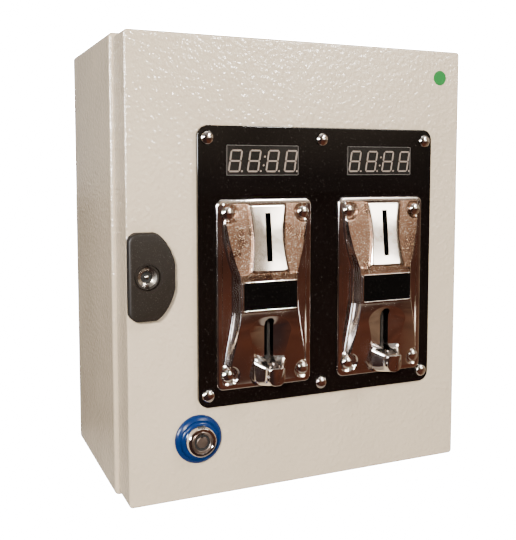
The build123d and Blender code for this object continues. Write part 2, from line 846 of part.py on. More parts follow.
    with BuildPart() as face_window:
        block(
            (cx - window_w / 2, cx + window_w / 2),
            (at_height(window_floor), at_height(window_floor + window_t)),
            (window_mid - window_h / 2, window_mid + window_h / 2),
        )
    keep(face_window, f"{side}_face_window")

y_seat = at_height(seat_h)
with BuildPart() as face_screw_set:
    for side in coin_x:
        screws(face_screws(side), y_seat, y_door_in - y_seat + nut_t + screw_end)
    fillet(face_screw_set.edges().group_by(Axis.Y)[0], dome_h - 0.4)
keep(face_screw_set, "face_plate_screws")

with BuildPart() as door_nuts:
    nuts(panel_screws, y_door_in)
    for side in coin_x:
        nuts(face_screws(side), y_door_in)
keep(door_nuts, "door_nuts")

# ---------------------------------------------------------------- coin mechanisms
wall_in = 6.0
cover_t = 3.7
y_house = y_panel
y_house_rear = y_house + housing_d
house_low = coin_z - housing_h / 2
house_top = coin_z + housing_h / 2
slot_low = slot_mid - slot_h / 2
slot_high = slot_mid + slot_h / 2
exit_w = 25.0
y_path_rear = y_house_rear - wall_in
y_exit = y_path_rear - exit_w
y_ramp_end = y_house + 30.0
ramp_drop = 12.0
gate_y = y_exit - 1.0
gate_z = ref_z - 51.0
gate_len = 24.0
gate_t = 1.6
gate_rise = 20.0
trunnion_r = 1.2
trunnion_len = 2.0
solenoid_w = 12.0
sensor_w = 6.0
sensor_r = 13.0

for side, cx in coin_x.items():
    with BuildPart() as coin_housing:
        block(
            (cx - coin_gap / 2, cx + housing_w / 2), (y_house, y_house_rear), (house_low, house_top)
        )
        with BuildSketch(side_plane(cx - coin_gap / 2)):
            with BuildLine():
                Polyline(
                    (y_house, slot_low),
                    (y_house, slot_high),
                    (y_ramp_end, slot_high),
                    (y_path_rear, slot_high - ramp_drop),
                    (y_path_rear, house_low),
                    (y_exit, house_low),
                    (y_exit, gate_z - 3),
                    (gate_y - 2.2, gate_z - 3),
                    (y_house, return_foot),
                    (y_house, return_top),
                    (y_ramp_end, return_top + 5),
                    (y_ramp_end, slot_low - ramp_drop),
                    (y_house, slot_low),
                )
            make_face()
        extrude(amount=coin_gap, mode=Mode.SUBTRACT)
        with BuildSketch(side_plane(cx + coin_gap / 2)):
            with Locations((gate_y, gate_z)):
                Circle(trunnion_r + running_gap)
        extrude(amount=trunnion_len + 0.5, mode=Mode.SUBTRACT)
    keep(coin_housing, f"{side}_coin_housing")

    with BuildPart() as coin_cover:
        block(
            (cx - coin_gap / 2 - cover_t, cx - coin_gap / 2), (y_house, y_house_rear), (house_low, house_top)
        )
        with BuildSketch(side_plane(cx - coin_gap / 2 - trunnion_len - 0.5)):
            with Locations((gate_y, gate_z)):
                Circle(trunnion_r + running_gap)
        extrude(amount=trunnion_len + 0.5, mode=Mode.SUBTRACT)
    keep(coin_cover, f"{side}_coin_cover")

    with BuildPart() as accept_gate:
        gate_line = Plane.YZ.offset(cx - coin_gap / 2 + fit_gap) * Pos(gate_y, gate_z) * Rot(0, 0, gate_rise)
        with BuildSketch(gate_line):
            with Locations((gate_len / 2, 0)):
                Rectangle(gate_len, gate_t)
            Circle(2.0)
        extrude(amount=coin_gap - 2 * fit_gap)
        with BuildSketch(side_plane(cx - coin_gap / 2 - trunnion_len)):
            with Locations((gate_y, gate_z)):
                Circle(trunnion_r)
        extrude(amount=coin_gap + 2 * trunnion_len)
    keep(accept_gate, f"{side}_accept_gate")

    x_out = cx - coin_gap / 2 - cover_t
    with BuildPart() as gate_solenoid:
        block((x_out - solenoid_w, x_out), (gate_y - 4, gate_y + 20), (gate_z - 8, gate_z + 8))
    keep(gate_solenoid, f"{side}_gate_solenoid")

    with BuildPart() as coin_sensor:
        with BuildSketch(side_plane(x_out - sensor_w)):
            with Locations((gate_y + 8, gate_z + 34)):
                Circle(sensor_r)
        extrude(amount=sensor_w)
    keep(coin_sensor, f"{side}_coin_sensor")

# ---------------------------------------------------------------- quarter-turn latch
latch_left = latch_x - latch_in
latch_corner_r = 4.0
latch_flat = 14.0
latch_recess = 3.0
latch_boss_d = 6.0
y_core = y_door - latch_t + latch_recess
with BuildPart() as latch_housing:
    with BuildSketch(front_plane(y_door)) as half_moon:
        with BuildLine():
            ThreePointArc(
                (latch_left + latch_flat, latch_z + latch_half_h),
                (latch_left + latch_reach, latch_z),
                (latch_left + latch_flat, latch_z - latch_half_h),
            )
            Polyline(
                (latch_left + latch_flat, latch_z - latch_half_h),
                (latch_left, latch_z - latch_half_h),
                (latch_left, latch_z + latch_half_h),
                (latch_left + latch_flat, latch_z + latch_half_h),
            )
        make_face()
        fillet(half_moon.vertices(), latch_corner_r)
    extrude(amount=latch_t)
    fillet(latch_housing.faces().sort_by(Axis.Y)[0].edges(), 2.0)
    rods([latch_at], latch_boss_r, y_door + latch_boss_d + door_sheet, latch_boss_d + door_sheet)
    rods([latch_at], latch_core_r + 0.1, y_core, latch_recess, Mode.SUBTRACT)
    rods(
        [latch_at],
        latch_shaft_r + running_gap,
        y_door + latch_boss_d + door_sheet,
        latch_boss_d + door_sheet + latch_t,
        Mode.SUBTRACT,
    )
    rods(latch_screws_at, latch_screw_r + thread_gap, y_door, 4.5, Mode.SUBTRACT)
keep(latch_housing, "latch_housing")

with BuildPart() as latch_screws:
    rods(latch_screws_at, latch_screw_r, y_door_in, door_sheet + 4)
    rods(latch_screws_at, latch_screw_head_r, y_door_in + 2, 2)
keep(latch_screws, "latch_screws")

keyhole_r = 3.6
key_pin_r = 1.4
spigot_r = 3.0
spigot_fit = 0.02
cam_screw_r = 1.5
cam_head_r = 4.5
cam_head_t = 2.0
with BuildPart() as latch_insert:
    rods([latch_at], latch_core_r, y_core, latch_recess - 0.3)
    rods([latch_at], latch_shaft_r, y_cam - cam_t, y_cam - cam_t - y_core)
    rods([latch_at], spigot_r, y_cam, cam_t)
    rods([latch_at], cam_screw_r + thread_gap, y_cam, 10, Mode.SUBTRACT)
    rods([latch_at], keyhole_r, y_core + 3, 10, Mode.SUBTRACT)
    rods([latch_at], key_pin_r, y_core + 3, 5)
    for s in (-1, 1):
        block(
            (latch_x + s * 3.3, latch_x + s * 5.4),
            (y_door - latch_t + 2.6, y_door - latch_t - 1),
            (latch_z - 1, latch_z + 1),
            Mode.SUBTRACT,
        )
keep(latch_insert, "latch_insert")

with BuildPart() as latch_cam:
    with BuildSketch(front_plane(y_cam)):
        with Locations((latch_x, latch_z + latch_cam_len / 2)):
            Rectangle(2 * cam_half_w, latch_cam_len)
        with Locations(latch_at):
            Circle(cam_half_w + 1)
    extrude(amount=cam_t)
    rods([latch_at], spigot_r + spigot_fit, y_cam, cam_t, Mode.SUBTRACT)
keep(latch_cam, "latch_cam")

with BuildPart() as latch_cam_screw:
    rods([latch_at], cam_head_r, y_cam + cam_head_t, cam_head_t)
    rods([latch_at], cam_screw_r, y_cam, 9)
keep(latch_cam_screw, "latch_cam_screw")

# ---------------------------------------------------------------- tubular-key lock
y_lock_face = y_door - lock_face_t
y_barrel_rear = y_cam - cam_t - 0.3
with BuildPart() as lock_ring:
    rods([lock_at], lock_ring_r, y_door, lock_ring_t)
    fillet(lock_ring.faces().sort_by(Axis.Y)[0].edges(), 2.0)
    rods([lock_at], lock_barrel_r + 0.2, y_door, lock_ring_t, Mode.SUBTRACT)
keep(lock_ring, "lock_ring")

with BuildPart() as lock_body:
    rods([lock_at], lock_face_r, y_door - lock_ring_t, lock_face_t - lock_ring_t)
    chamfer(lock_body.faces().sort_by(Axis.Y)[0].edges(), 0.8)
    rods([lock_at], lock_barrel_r, y_barrel_rear, y_barrel_rear - (y_door - lock_ring_t))
    rods([lock_at], lock_plug_r + running_gap, y_barrel_rear, y_barrel_rear - y_lock_face, Mode.SUBTRACT)
    block(
        (lock_x - 1.4, lock_x + 1.4),
        (y_lock_face + 2.5, y_lock_face - 1),
        (lock_z + lock_plug_r - 0.5, lock_z + lock_face_r - 1),
        Mode.SUBTRACT,
    )
keep(lock_body, "lock_body")

lock_nut_flats = 25.0
lock_nut_t = 4.0
with BuildPart() as lock_nut:
    hexes([lock_at], lock_nut_flats, y_door_in + lock_nut_t, lock_nut_t)
    rods([lock_at], lock_barrel_r + thread_gap, y_door_in + lock_nut_t, lock_nut_t, Mode.SUBTRACT)
keep(lock_nut, "lock_nut")

keyway_out = 5.4
keyway_in = 3.9
keyway_d = 7.0
with BuildPart() as lock_plug:
    plug_front = y_lock_face + 1.2
    rods([lock_at], lock_plug_r, y_barrel_rear, y_barrel_rear - plug_front)
    rods([lock_at], keyway_out, plug_front + keyway_d, keyway_d, Mode.SUBTRACT)
    rods([lock_at], keyway_in, plug_front + keyway_d, keyway_d)
    rods([lock_at], spigot_r, y_cam, y_cam - y_barrel_rear)
    rods([lock_at], cam_screw_r + thread_gap, y_cam, 10, Mode.SUBTRACT)
keep(lock_plug, "lock_plug")

with BuildPart() as lock_cam:
    with BuildSketch(front_plane(y_cam)):
        with Locations((lock_x, lock_z + lock_cam_len / 2)):
            Rectangle(2 * cam_half_w, lock_cam_len)
        with Locations(lock_at):
            Circle(cam_half_w + 2)
    extrude(amount=cam_t)
    rods([lock_at], spigot_r + spigot_fit, y_cam, cam_t, Mode.SUBTRACT)
keep(lock_cam, "lock_cam")

with BuildPart() as lock_cam_screw:
    rods([lock_at], cam_head_r, y_cam + cam_head_t, cam_head_t)
    rods([lock_at], cam_screw_r, y_cam, 9)
keep(lock_cam_screw, "lock_cam_screw")
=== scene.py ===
"""Finishes and fine pieces of a coin-operated charging cabinet, in metres, front towards -Y."""

import json
import logging
import math
from dataclasses import dataclass, field
from enum import Enum
from typing import Callable

import bmesh
import bpy
import numpy as np
from mathutils import Matrix, Vector


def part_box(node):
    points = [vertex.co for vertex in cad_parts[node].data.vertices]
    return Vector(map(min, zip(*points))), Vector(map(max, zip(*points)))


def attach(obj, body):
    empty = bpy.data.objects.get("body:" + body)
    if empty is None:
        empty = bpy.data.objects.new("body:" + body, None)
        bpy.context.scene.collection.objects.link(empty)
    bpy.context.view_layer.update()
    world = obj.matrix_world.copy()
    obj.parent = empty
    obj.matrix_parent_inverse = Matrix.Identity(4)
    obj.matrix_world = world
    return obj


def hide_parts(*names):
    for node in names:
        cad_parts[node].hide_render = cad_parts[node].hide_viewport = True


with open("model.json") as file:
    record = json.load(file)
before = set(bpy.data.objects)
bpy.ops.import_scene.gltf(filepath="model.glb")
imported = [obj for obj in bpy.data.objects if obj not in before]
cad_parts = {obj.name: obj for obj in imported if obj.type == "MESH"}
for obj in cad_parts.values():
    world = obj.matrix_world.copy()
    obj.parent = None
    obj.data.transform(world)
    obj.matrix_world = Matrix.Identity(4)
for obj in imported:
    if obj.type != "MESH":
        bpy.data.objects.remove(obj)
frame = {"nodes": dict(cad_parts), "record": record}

LOG = logging.getLogger("cabinet")
MM = 0.001
Colour = tuple[float, float, float]


# ---------------------------------------------------------------- shader graphs
class Graph:
    """A node tree being wired up.

    Args:
        tree: The material's or group's node tree.
    """

    def __init__(self, tree: bpy.types.NodeTree) -> None:
        """Keep the tree."""
        self.tree = tree

    def add(self, kind: str, values: dict | None = None, **settings: object) -> bpy.types.Node:
        """Add a shader node.

        Args:
            kind: Node type without its ShaderNode prefix.
            values: Input socket name or index, to a value or to the output that feeds it.
            settings: Node properties.

        Returns:
            The new node.
        """
        node = self.tree.nodes.new("ShaderNode" + kind)
        for key, value in settings.items():
            setattr(node, key, value)
        for key, value in (values or {}).items():
            self.feed(node.inputs[key], value)
        return node

    def feed(self, socket: bpy.types.NodeSocket, value: object) -> None:
        """Set a socket's value, or link an output to it."""
        if isinstance(value, bpy.types.NodeSocket):
            self.tree.links.new(value, socket)
        elif isinstance(value, tuple) and socket.type == "RGBA":
            socket.default_value = (*value, 1.0)
        else:
            socket.default_value = value

    def noise(
        self, vector: bpy.types.NodeSocket, size: float, detail: float = 2.0
    ) -> bpy.types.NodeSocket:
        """Noise whose blotches are about size metres across, as a value from 0 to 1."""
        node = self.add("TexNoise", {"Vector": vector, "Scale": 1.0 / size, "Detail": detail})
        return node.outputs["Fac"]

    def spread(
        self, value: bpy.types.NodeSocket, low: float, high: float, to_low: float = 0.0, to_high: float = 1.0
    ) -> bpy.types.NodeSocket:
        """Map the range low to high of a value onto another range, clamped."""
        node = self.add(
            "MapRange",
            {"Value": value, "From Min": low, "From Max": high, "To Min": to_low, "To Max": to_high},
        )
        return node.outputs["Result"]

    def mix(self, factor: object, a: object, b: object) -> bpy.types.NodeSocket:
        """Mix two colours."""
        node = self.add("Mix", {0: factor}, data_type="RGBA")
        self.feed(node.inputs[6], a)
        self.feed(node.inputs[7], b)
        return node.outputs[2]

    def sum(self, a: object, b: object, operation: str = "ADD") -> bpy.types.NodeSocket:
        """Combine two values with a maths operation."""
        node = self.add("Math", operation=operation)
        self.feed(node.inputs[0], a)
        self.feed(node.inputs[1], b)
        return node.outputs[0]


def make_group(
    name: str,
    inputs: dict[str, float | None],
    outputs: tuple[str, ...],
    wire: Callable[[Graph, dict[str, bpy.types.NodeSocket]], dict[str, bpy.types.NodeSocket]],
) -> bpy.types.NodeTree:
    """Build a shader node group.

    Args:
        name: The group's name.
        inputs: Input name to its default, or None for a vector.
        outputs: Names of the value outputs.
        wire: Takes the graph and the input sockets, and returns the outputs.

    Returns:
        The node group.
    """
    tree = bpy.data.node_groups.new(name, "ShaderNodeTree")
    for key, default in inputs.items():
        kind = "NodeSocketVector" if default is None else "NodeSocketFloat"
        socket = tree.interface.new_socket(name=key, in_out="INPUT", socket_type=kind)
        if default is not None:
            socket.default_value = default
    for key in outputs:
        tree.interface.new_socket(name=key, in_out="OUTPUT", socket_type="NodeSocketFloat")
    graph = Graph(tree)
    source = tree.nodes.new("NodeGroupInput")
    sink = tree.nodes.new("NodeGroupOutput")
    results = wire(graph, {key: source.outputs[key] for key in inputs})
    for key, socket in results.items():
        tree.links.new(socket, sink.inputs[key])
    return tree


def wire_peel(graph: Graph, given: dict[str, bpy.types.NodeSocket]) -> dict[str, bpy.types.NodeSocket]:
    """Rounded bumps of sprayed powder, with a slow swell under them."""
    scale = graph.sum(1.0, given["Size"], "DIVIDE")
    cells = graph.add(
        "TexVoronoi", {"Vector": given["Vector"], "Scale": scale, "Smoothness": 0.35}, feature="SMOOTH_F1"
    ).outputs["Distance"]
    fine = graph.add(
        "TexNoise", {"Vector": given["Vector"], "Scale": graph.sum(scale, 1.3, "MULTIPLY"), "Detail": 1.0}
    ).outputs["Fac"]
    bumps = graph.sum(graph.sum(cells, -0.7, "MULTIPLY"), graph.sum(fine, 1.4, "MULTIPLY"))
    return {"Height": bumps, "Fleck": graph.spread(fine, 0.58, 0.72)}


def wire_smudge(graph: Graph, given: dict[str, bpy.types.NodeSocket]) -> dict[str, bpy.types.NodeSocket]:
    """Broad handling marks and fine specks of dust."""
    scale = graph.sum(1.0, given["Size"], "DIVIDE")
    broad = graph.add("TexNoise", {"Vector": given["Vector"], "Scale": scale, "Detail": 4.0}).outputs["Fac"]
    specks = graph.add(
        "TexNoise", {"Vector": given["Vector"], "Scale": graph.sum(scale, 40.0, "MULTIPLY"), "Detail": 1.0}
    ).outputs["Fac"]
    return {"Smudge": graph.spread(broad, 0.35, 0.7), "Dust": graph.spread(specks, 0.68, 0.8)}


def wire_streaks(graph: Graph, given: dict[str, bpy.types.NodeSocket]) -> dict[str, bpy.types.NodeSocket]:
    """Fine lines of rolled or brushed metal, running up the piece, over zinc spangle."""
    stretch = graph.add("VectorMath", {0: given["Vector"], 1: (1.0, 1.0, 0.04)}, operation="MULTIPLY")
    scale = graph.sum(1.0, given["Size"], "DIVIDE")
    lines = graph.add(
        "TexNoise", {"Vector": stretch.outputs[0], "Scale": scale, "Detail": 3.0}
    ).outputs["Fac"]
    spangle = graph.add(
        "TexVoronoi", {"Vector": given["Vector"], "Scale": graph.sum(scale, 0.06, "MULTIPLY")}
    ).outputs["Color"]
    grey = graph.add("RGBToBW", {"Color": spangle}).outputs["Val"]
    return {"Lines": lines, "Spangle": grey}


PEEL = make_group("powder_peel", {"Vector": None, "Size": 0.002}, ("Height", "Fleck"), wire_peel)
SMUDGE = make_group("handling_marks", {"Vector": None, "Size": 0.03}, ("Smudge", "Dust"), wire_smudge)
STREAKS = make_group("metal_streaks", {"Vector": None, "Size": 0.0006}, ("Lines", "Spangle"), wire_streaks)


@dataclass(frozen=True)
class Finish:
    """What every finish has: a colour, a roughness and its surface detail.

    Subclasses wire their detail in dress().
    """

    colour: Colour
    roughness: float = 0.4
    metallic: float = 0.0

    def build(self, name: str) -> bpy.types.Material:
        """Make the material.

        Args:
            name: The material's name.

        Returns:
            The finished material.
        """
        material = bpy.data.materials.new(name)
        material.use_nodes = True
        material.node_tree.nodes.clear()
        graph = Graph(material.node_tree)
        shader = graph.add("BsdfPrincipled", {"Metallic": self.metallic, "Roughness": self.roughness})
        output = graph.add("OutputMaterial")
        material.node_tree.links.new(shader.outputs[0], output.inputs[0])
        self.dress(graph, shader, graph.add("TexCoord").outputs["Object"])
        return material

    def dress(self, graph: Graph, shader: bpy.types.Node, place: bpy.types.NodeSocket) -> None:
        """Wire the finish's detail into the shader."""
        raise NotImplementedError

    def marks(self, graph: Graph, place: bpy.types.NodeSocket, size: float) -> bpy.types.Node:
        """Place the handling marks group."""
        node = graph.add("Group", node_tree=SMUDGE)
        graph.feed(node.inputs["Vector"], place)
        graph.feed(node.inputs["Size"], size)
        return node

    def bump(self, graph: Graph, height: object, depth: float) -> bpy.types.NodeSocket:
        """A bump of that many metres."""
        return graph.add("Bump", {"Height": height, "Distance": depth}).outputs["Normal"]

    def uneven(self, graph: Graph, mask: object, low: float, high: float) -> bpy.types.NodeSocket:
        """Roughness that runs from low to high with a mask."""
        return graph.spread(mask, 0.0, 1.0, low, high)

    def shades(self, factor: float) -> Colour:
        """The colour made lighter or darker."""
        return tuple(min(1.0, channel * factor) for channel in self.colour)


@dataclass(frozen=True)
class PowderCoat(Finish):
    """Textured polyester powder on steel."""

    grain: float = 3.2 * MM
    depth: float = 0.4 * MM

    def dress(self, graph: Graph, shader: bpy.types.Node, place: bpy.types.NodeSocket) -> None:
        """Orange-peel bumps, slight colour drift and rubbed patches."""
        peel = graph.add("Group", node_tree=PEEL)
        graph.feed(peel.inputs["Vector"], place)
        graph.feed(peel.inputs["Size"], self.grain)
        marks = self.marks(graph, place, 60 * MM)
        drift = graph.mix(marks.outputs["Smudge"], self.shades(0.97), self.shades(1.02))
        flecks = graph.sum(peel.outputs["Fleck"], 0.12, "MULTIPLY")
        graph.feed(shader.inputs["Base Color"], graph.mix(flecks, drift, self.shades(1.15)))
        rough = self.uneven(graph, marks.outputs["Smudge"], self.roughness - 0.04, self.roughness + 0.05)
        graph.feed(shader.inputs["Roughness"], rough)
        graph.feed(shader.inputs["Normal"], self.bump(graph, peel.outputs["Height"], self.depth))
        graph.feed(shader.inputs["Coat Weight"], 0.15)
        graph.feed(shader.inputs["Coat Roughness"], 0.15)


@dataclass(frozen=True)
class Chrome(Finish):
    """Bright plated zinc casting or screw."""

    metallic: float = 1.0
    waviness: float = 0.02 * MM
    grain: float = 0.0

    def dress(self, graph: Graph, shader: bpy.types.Node, place: bpy.types.NodeSocket) -> None:
        """Faint casting waves, finger marks and, where asked, a sandy grain whose bright flecks are painted
        glints in the base colour.
        """
        marks = self.marks(graph, place, 14 * MM)
        tint = graph.mix(marks.outputs["Smudge"], self.shades(0.93), self.colour)
        graph.feed(shader.inputs["Base Color"], graph.mix(marks.outputs["Dust"], tint, self.shades(0.8)))
        rough = self.uneven(graph, marks.outputs["Smudge"], self.roughness * 0.7, self.roughness * 1.6)
        graph.feed(shader.inputs["Roughness"], rough)
        normal = self.bump(graph, graph.noise(place, 6 * MM, 1.0), self.waviness)
        if self.grain > 0:
            # The light flecks below are painted glints in the base colour, standing in for the grain's
            # sparkle; the same noise also drives a real bump.
            sand = graph.noise(place, 0.7 * MM, 3.0)
            bright = graph.mix(graph.spread(sand, 0.58, 0.68), tint, (0.7, 0.58, 0.44))
            graph.feed(shader.inputs["Base Color"], bright)
            bumped = graph.add("Bump", {"Height": sand, "Distance": self.grain, "Normal": normal})
            normal = bumped.outputs["Normal"]
        graph.feed(shader.inputs["Normal"], normal)


@dataclass(frozen=True)
class Steel(Finish):
    """Zinc-plated or rolled steel."""

    metallic: float = 1.0
    line: float = 0.5 * MM

    def dress(self, graph: Graph, shader: bpy.types.Node, place: bpy.types.NodeSocket) -> None:
        """Fine lines with a spangle in the colour and the roughness."""
        streaks = graph.add("Group", node_tree=STREAKS)
        graph.feed(streaks.inputs["Vector"], place)
        graph.feed(streaks.inputs["Size"], self.line)
        tone = graph.mix(streaks.outputs["Spangle"], self.shades(0.86), self.shades(1.08))
        graph.feed(shader.inputs["Base Color"], tone)
        rough = graph.spread(streaks.outputs["Lines"], 0.3, 0.7, self.roughness - 0.07, self.roughness + 0.1)
        graph.feed(shader.inputs["Roughness"], rough)
        graph.feed(shader.inputs["Normal"], self.bump(graph, streaks.outputs["Lines"], 0.015 * MM))


@dataclass(frozen=True)
class Moulded(Finish):
    """Moulded plastic or rubber with a fine spark-eroded grain."""

    grain: float = 0.35 * MM
    depth: float = 0.03 * MM
    rubbed: float = 1.25
    specular: float = 0.5

    def dress(self, graph: Graph, shader: bpy.types.Node, place: bpy.types.NodeSocket) -> None:
        """Grain, dust and lighter rubbed patches."""
        marks = self.marks(graph, place, 18 * MM)
        worn = graph.sum(marks.outputs["Smudge"], 0.5, "MULTIPLY")
        rubbed = graph.mix(worn, self.colour, self.shades(self.rubbed))
        dust = graph.sum(marks.outputs["Dust"], 0.25, "MULTIPLY")
        graph.feed(shader.inputs["Base Color"], graph.mix(dust, rubbed, (0.35, 0.33, 0.3)))
        rough = self.uneven(graph, marks.outputs["Smudge"], self.roughness + 0.05, self.roughness - 0.06)
        graph.feed(shader.inputs["Roughness"], rough)
        graph.feed(shader.inputs["Normal"], self.bump(graph, graph.noise(place, self.grain), self.depth))
        graph.feed(shader.inputs["Specular IOR Level"], self.specular)


@dataclass(frozen=True)
class Glossy(Finish):
    """Polished acrylic, clear window or glossy plastic."""

    coat: float = 0.4
    specular: float = 0.5
    dust: float = 0.05

    def dress(self, graph: Graph, shader: bpy.types.Node, place: bpy.types.NodeSocket) -> None:
        """A deep polish with faint smears and dust."""
        marks = self.marks(graph, place, 40 * MM)
        clean = graph.mix(marks.outputs["Smudge"], self.colour, self.shades(1.35))
        dust = graph.sum(marks.outputs["Dust"], self.dust, "MULTIPLY")
        graph.feed(shader.inputs["Base Color"], graph.mix(dust, clean, (0.5, 0.47, 0.43)))
        rough = self.uneven(graph, marks.outputs["Smudge"], self.roughness, self.roughness * 2.2)
        graph.feed(shader.inputs["Roughness"], rough)
        waves = graph.noise(place, 25 * MM, 1.0)
        graph.feed(shader.inputs["Normal"], self.bump(graph, waves, 0.02 * MM))
        graph.feed(shader.inputs["Specular IOR Level"], self.specular)
        graph.feed(shader.inputs["Coat Weight"], self.coat)
        graph.feed(shader.inputs["Coat Roughness"], 0.03)


@dataclass(frozen=True)
class Board(Finish):
    """Green circuit board with tracks and solder pads."""

    pitch: float = 5.0 * MM

    def dress(self, graph: Graph, shader: bpy.types.Node, place: bpy.types.NodeSocket) -> None:
        """Lighter tracks under the lacquer and rows of tinned pads."""
        bricks = graph.add(
            "TexBrick",
            {
                "Vector": graph.add("Mapping", {"Vector": place, "Rotation": (math.pi / 2, 0, 0)}).outputs[0],
                "Scale": 1.0 / (4 * self.pitch),
                "Mortar Size": 0.035,
                "Color1": self.colour,
                "Color2": self.shades(0.8),
                "Mortar": self.shades(2.2),
            },
        )
        pads = graph.add("TexVoronoi", {"Vector": place, "Scale": 1.0 / self.pitch, "Randomness": 0.35})
        tin = graph.spread(pads.outputs["Distance"], 0.20, 0.16)
        sparse = graph.spread(graph.noise(place, 14 * MM, 0.0), 0.5, 0.56)
        mask = graph.sum(tin, sparse, "MULTIPLY")
        graph.feed(shader.inputs["Base Color"], graph.mix(mask, bricks.outputs["Color"], (0.62, 0.6, 0.56)))
        graph.feed(shader.inputs["Metallic"], mask)
        graph.feed(shader.inputs["Normal"], self.bump(graph, bricks.outputs["Fac"], 0.04 * MM))


FINISHES: dict[str, Finish] = {
    "powder_coat": PowderCoat((0.77, 0.645, 0.485), 0.2),
    "zinc_plate": Steel((0.66, 0.66, 0.66), 0.3),
    "supply_case": Steel((0.70, 0.71, 0.72), 0.34),
    "terminal_black": Moulded((0.02, 0.02, 0.02), 0.45),
    "terminal_grey": Moulded((0.32, 0.33, 0.34), 0.5),
    "spacer_brass": Steel((0.78, 0.58, 0.28), 0.28),
    "board_green": Board((0.012, 0.11, 0.045), 0.3),
    "relay_blue": Glossy((0.02, 0.12, 0.42), 0.2),
    "connector_green": Moulded((0.05, 0.3, 0.1), 0.4),
    "chip_black": Moulded((0.015, 0.015, 0.015), 0.5),
    "tray_steel": Steel((0.6, 0.61, 0.62), 0.32),
    "gland_grey": Moulded((0.2, 0.205, 0.21), 0.45),
    "seal_rubber": Moulded((0.018, 0.018, 0.018), 0.65),
    "sticker_green": Glossy((0.004, 0.17, 0.025), 0.4, coat=0.0, specular=0.3),
    "acrylic_black": Glossy((0.003, 0.0022, 0.002), 0.035, coat=0.0, specular=0.4),
    "screw_chrome": Chrome((0.82, 0.77, 0.73), 0.07),
    "display_face": Glossy((0.011, 0.010, 0.009), 0.1, coat=0.0, specular=0.4),
    "face_chrome": Chrome((0.80, 0.74, 0.69), 0.09),
    "window_dark": Glossy((0.002, 0.002, 0.002), 0.08, coat=0.0, specular=0.15),
    "housing_black": Moulded((0.006, 0.006, 0.006), 0.55),
    "solenoid_steel": Steel((0.5, 0.5, 0.5), 0.38),
    "sensor_cream": Moulded((0.55, 0.5, 0.38), 0.55),
    "latch_black": Moulded((0.014, 0.010, 0.007), 0.5, grain=0.5 * MM, depth=0.05 * MM, specular=0.2),
    "latch_metal": Chrome((0.55, 0.51, 0.46), 0.22, waviness=0.05 * MM),
    "ring_blue": Glossy((0.0, 0.018, 0.10), 0.16, coat=0.0, specular=0.2),
    "lock_chrome": Chrome((0.8, 0.76, 0.72), 0.06),
    # The plug's dark brownish colour is its metal darkened: painted shade and dim reflection in the base
    # colour.
    "plug_steel": Chrome((0.30, 0.23, 0.19), 0.34),
}
MATERIALS: dict[str, bpy.types.Material] = {name: finish.build(name) for name, finish in FINISHES.items()}
# The grained zone's dark copper-brown base colour is painted reflection and shade: neutral plated metal
# darkened and browned to stand in for the dim brown surroundings it mirrors.
GRAINY_PAINTED_REFLECTION = Chrome((0.15, 0.082, 0.052), 0.30, grain=0.10 * MM).build("face_chrome_grain_painted_reflection")
SEGMENT = Moulded((0.26, 0.205, 0.17), 0.45).build("display_segment")
BEZEL = Moulded((0.11, 0.10, 0.095), 0.35).build("display_bezel")
# Near-black sheets of painted shade: they go into the latch keyhole, the cylinder's notch and the plug's
# keyway to stand in for the shadow deep in those holes.
PAINTED_SHADE_DARK = Moulded((0.006, 0.006, 0.006), 0.7).build("painted_shade_inside")


# ---------------------------------------------------------------- mesh helpers
def shade(bm: bmesh.types.BMesh, angle: float = 35.0) -> None:
    """Shade smoothly, with edges sharper than angle kept crisp."""
    bm.normal_update()
    for face in bm.faces:
        face.smooth = True
    limit = math.radians(angle)
    for edge in bm.edges:
        edge.smooth = len(edge.link_faces) != 2 or edge.calc_face_angle(0.0) < limit


def publish(
    bm: bmesh.types.BMesh,
    name: str,
    body: str,
    slot: str,
    material: bpy.types.Material | None = None,
    angle: float = 35.0,
    replaces: tuple[str, ...] = (),
) -> bpy.types.Object:
    """Turn a bmesh into a piece that rides on a body.

    Args:
        bm: The finished bmesh, which is freed.
        name: The piece's name.
        body: The CAD body that it moves with.
        slot: The material slot that it takes its finish from.
        material: Its material, or None for the slot's own.
        angle: Edges sharper than this, in degrees, stay crisp.
        replaces: CAD nodes that it stands for.

    Returns:
        The new object.
    """
    shade(bm, angle)
    mesh = bpy.data.meshes.new(name)
    bm.to_mesh(mesh)
    bm.free()
    mesh.materials.append(material or MATERIALS[slot])
    piece = bpy.data.objects.new(name, mesh)
    bpy.context.scene.collection.objects.link(piece)
    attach(piece, body)
    if replaces:
        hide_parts(*replaces)
    LOG.info("%s: %d faces on %s", name, len(mesh.polygons), body)
    return piece


def turned(
    profile: list[tuple[float, float]], centre: tuple[float, float], steps: int = 48
) -> bmesh.types.BMesh:
    """Spin a profile about a front-to-back axis.

    Args:
        profile: Points (radius, depth y).
        centre: The axis's x and z.
        steps: Steps round the axis.

    Returns:
        The closed turned shape.
    """
    bm = bmesh.new()
    x, z = centre
    points = [bm.verts.new((x + radius, y, z)) for radius, y in profile]
    edges = [bm.edges.new(pair) for pair in zip(points, points[1:])]
    bmesh.ops.spin(
        bm,
        geom=points + edges,
        cent=(x, 0, z),
        axis=(0, 1, 0),
        angle=2 * math.pi,
        steps=steps,
        use_merge=True,
    )
    bmesh.ops.remove_doubles(bm, verts=bm.verts, dist=1e-6)
    bmesh.ops.recalc_face_normals(bm, faces=bm.faces)
    return bm


def section(front: float, points: list[tuple[float, float]]) -> list[tuple[float, float]]:
    """A turned section written in millimetres: radius, and depth behind front."""
    return [(radius * MM, front + depth * MM) for radius, depth in points]


def verts_in(geom: list[object]) -> list[bmesh.types.BMVert]:
    """The vertices among what an operator made."""
    return [g for g in geom if isinstance(g, bmesh.types.BMVert)]


def front_face(bm: bmesh.types.BMesh) -> bmesh.types.BMFace:
    """The first face that looks forwards."""
    return next(f for f in bm.faces if f.normal.y < -0.9)


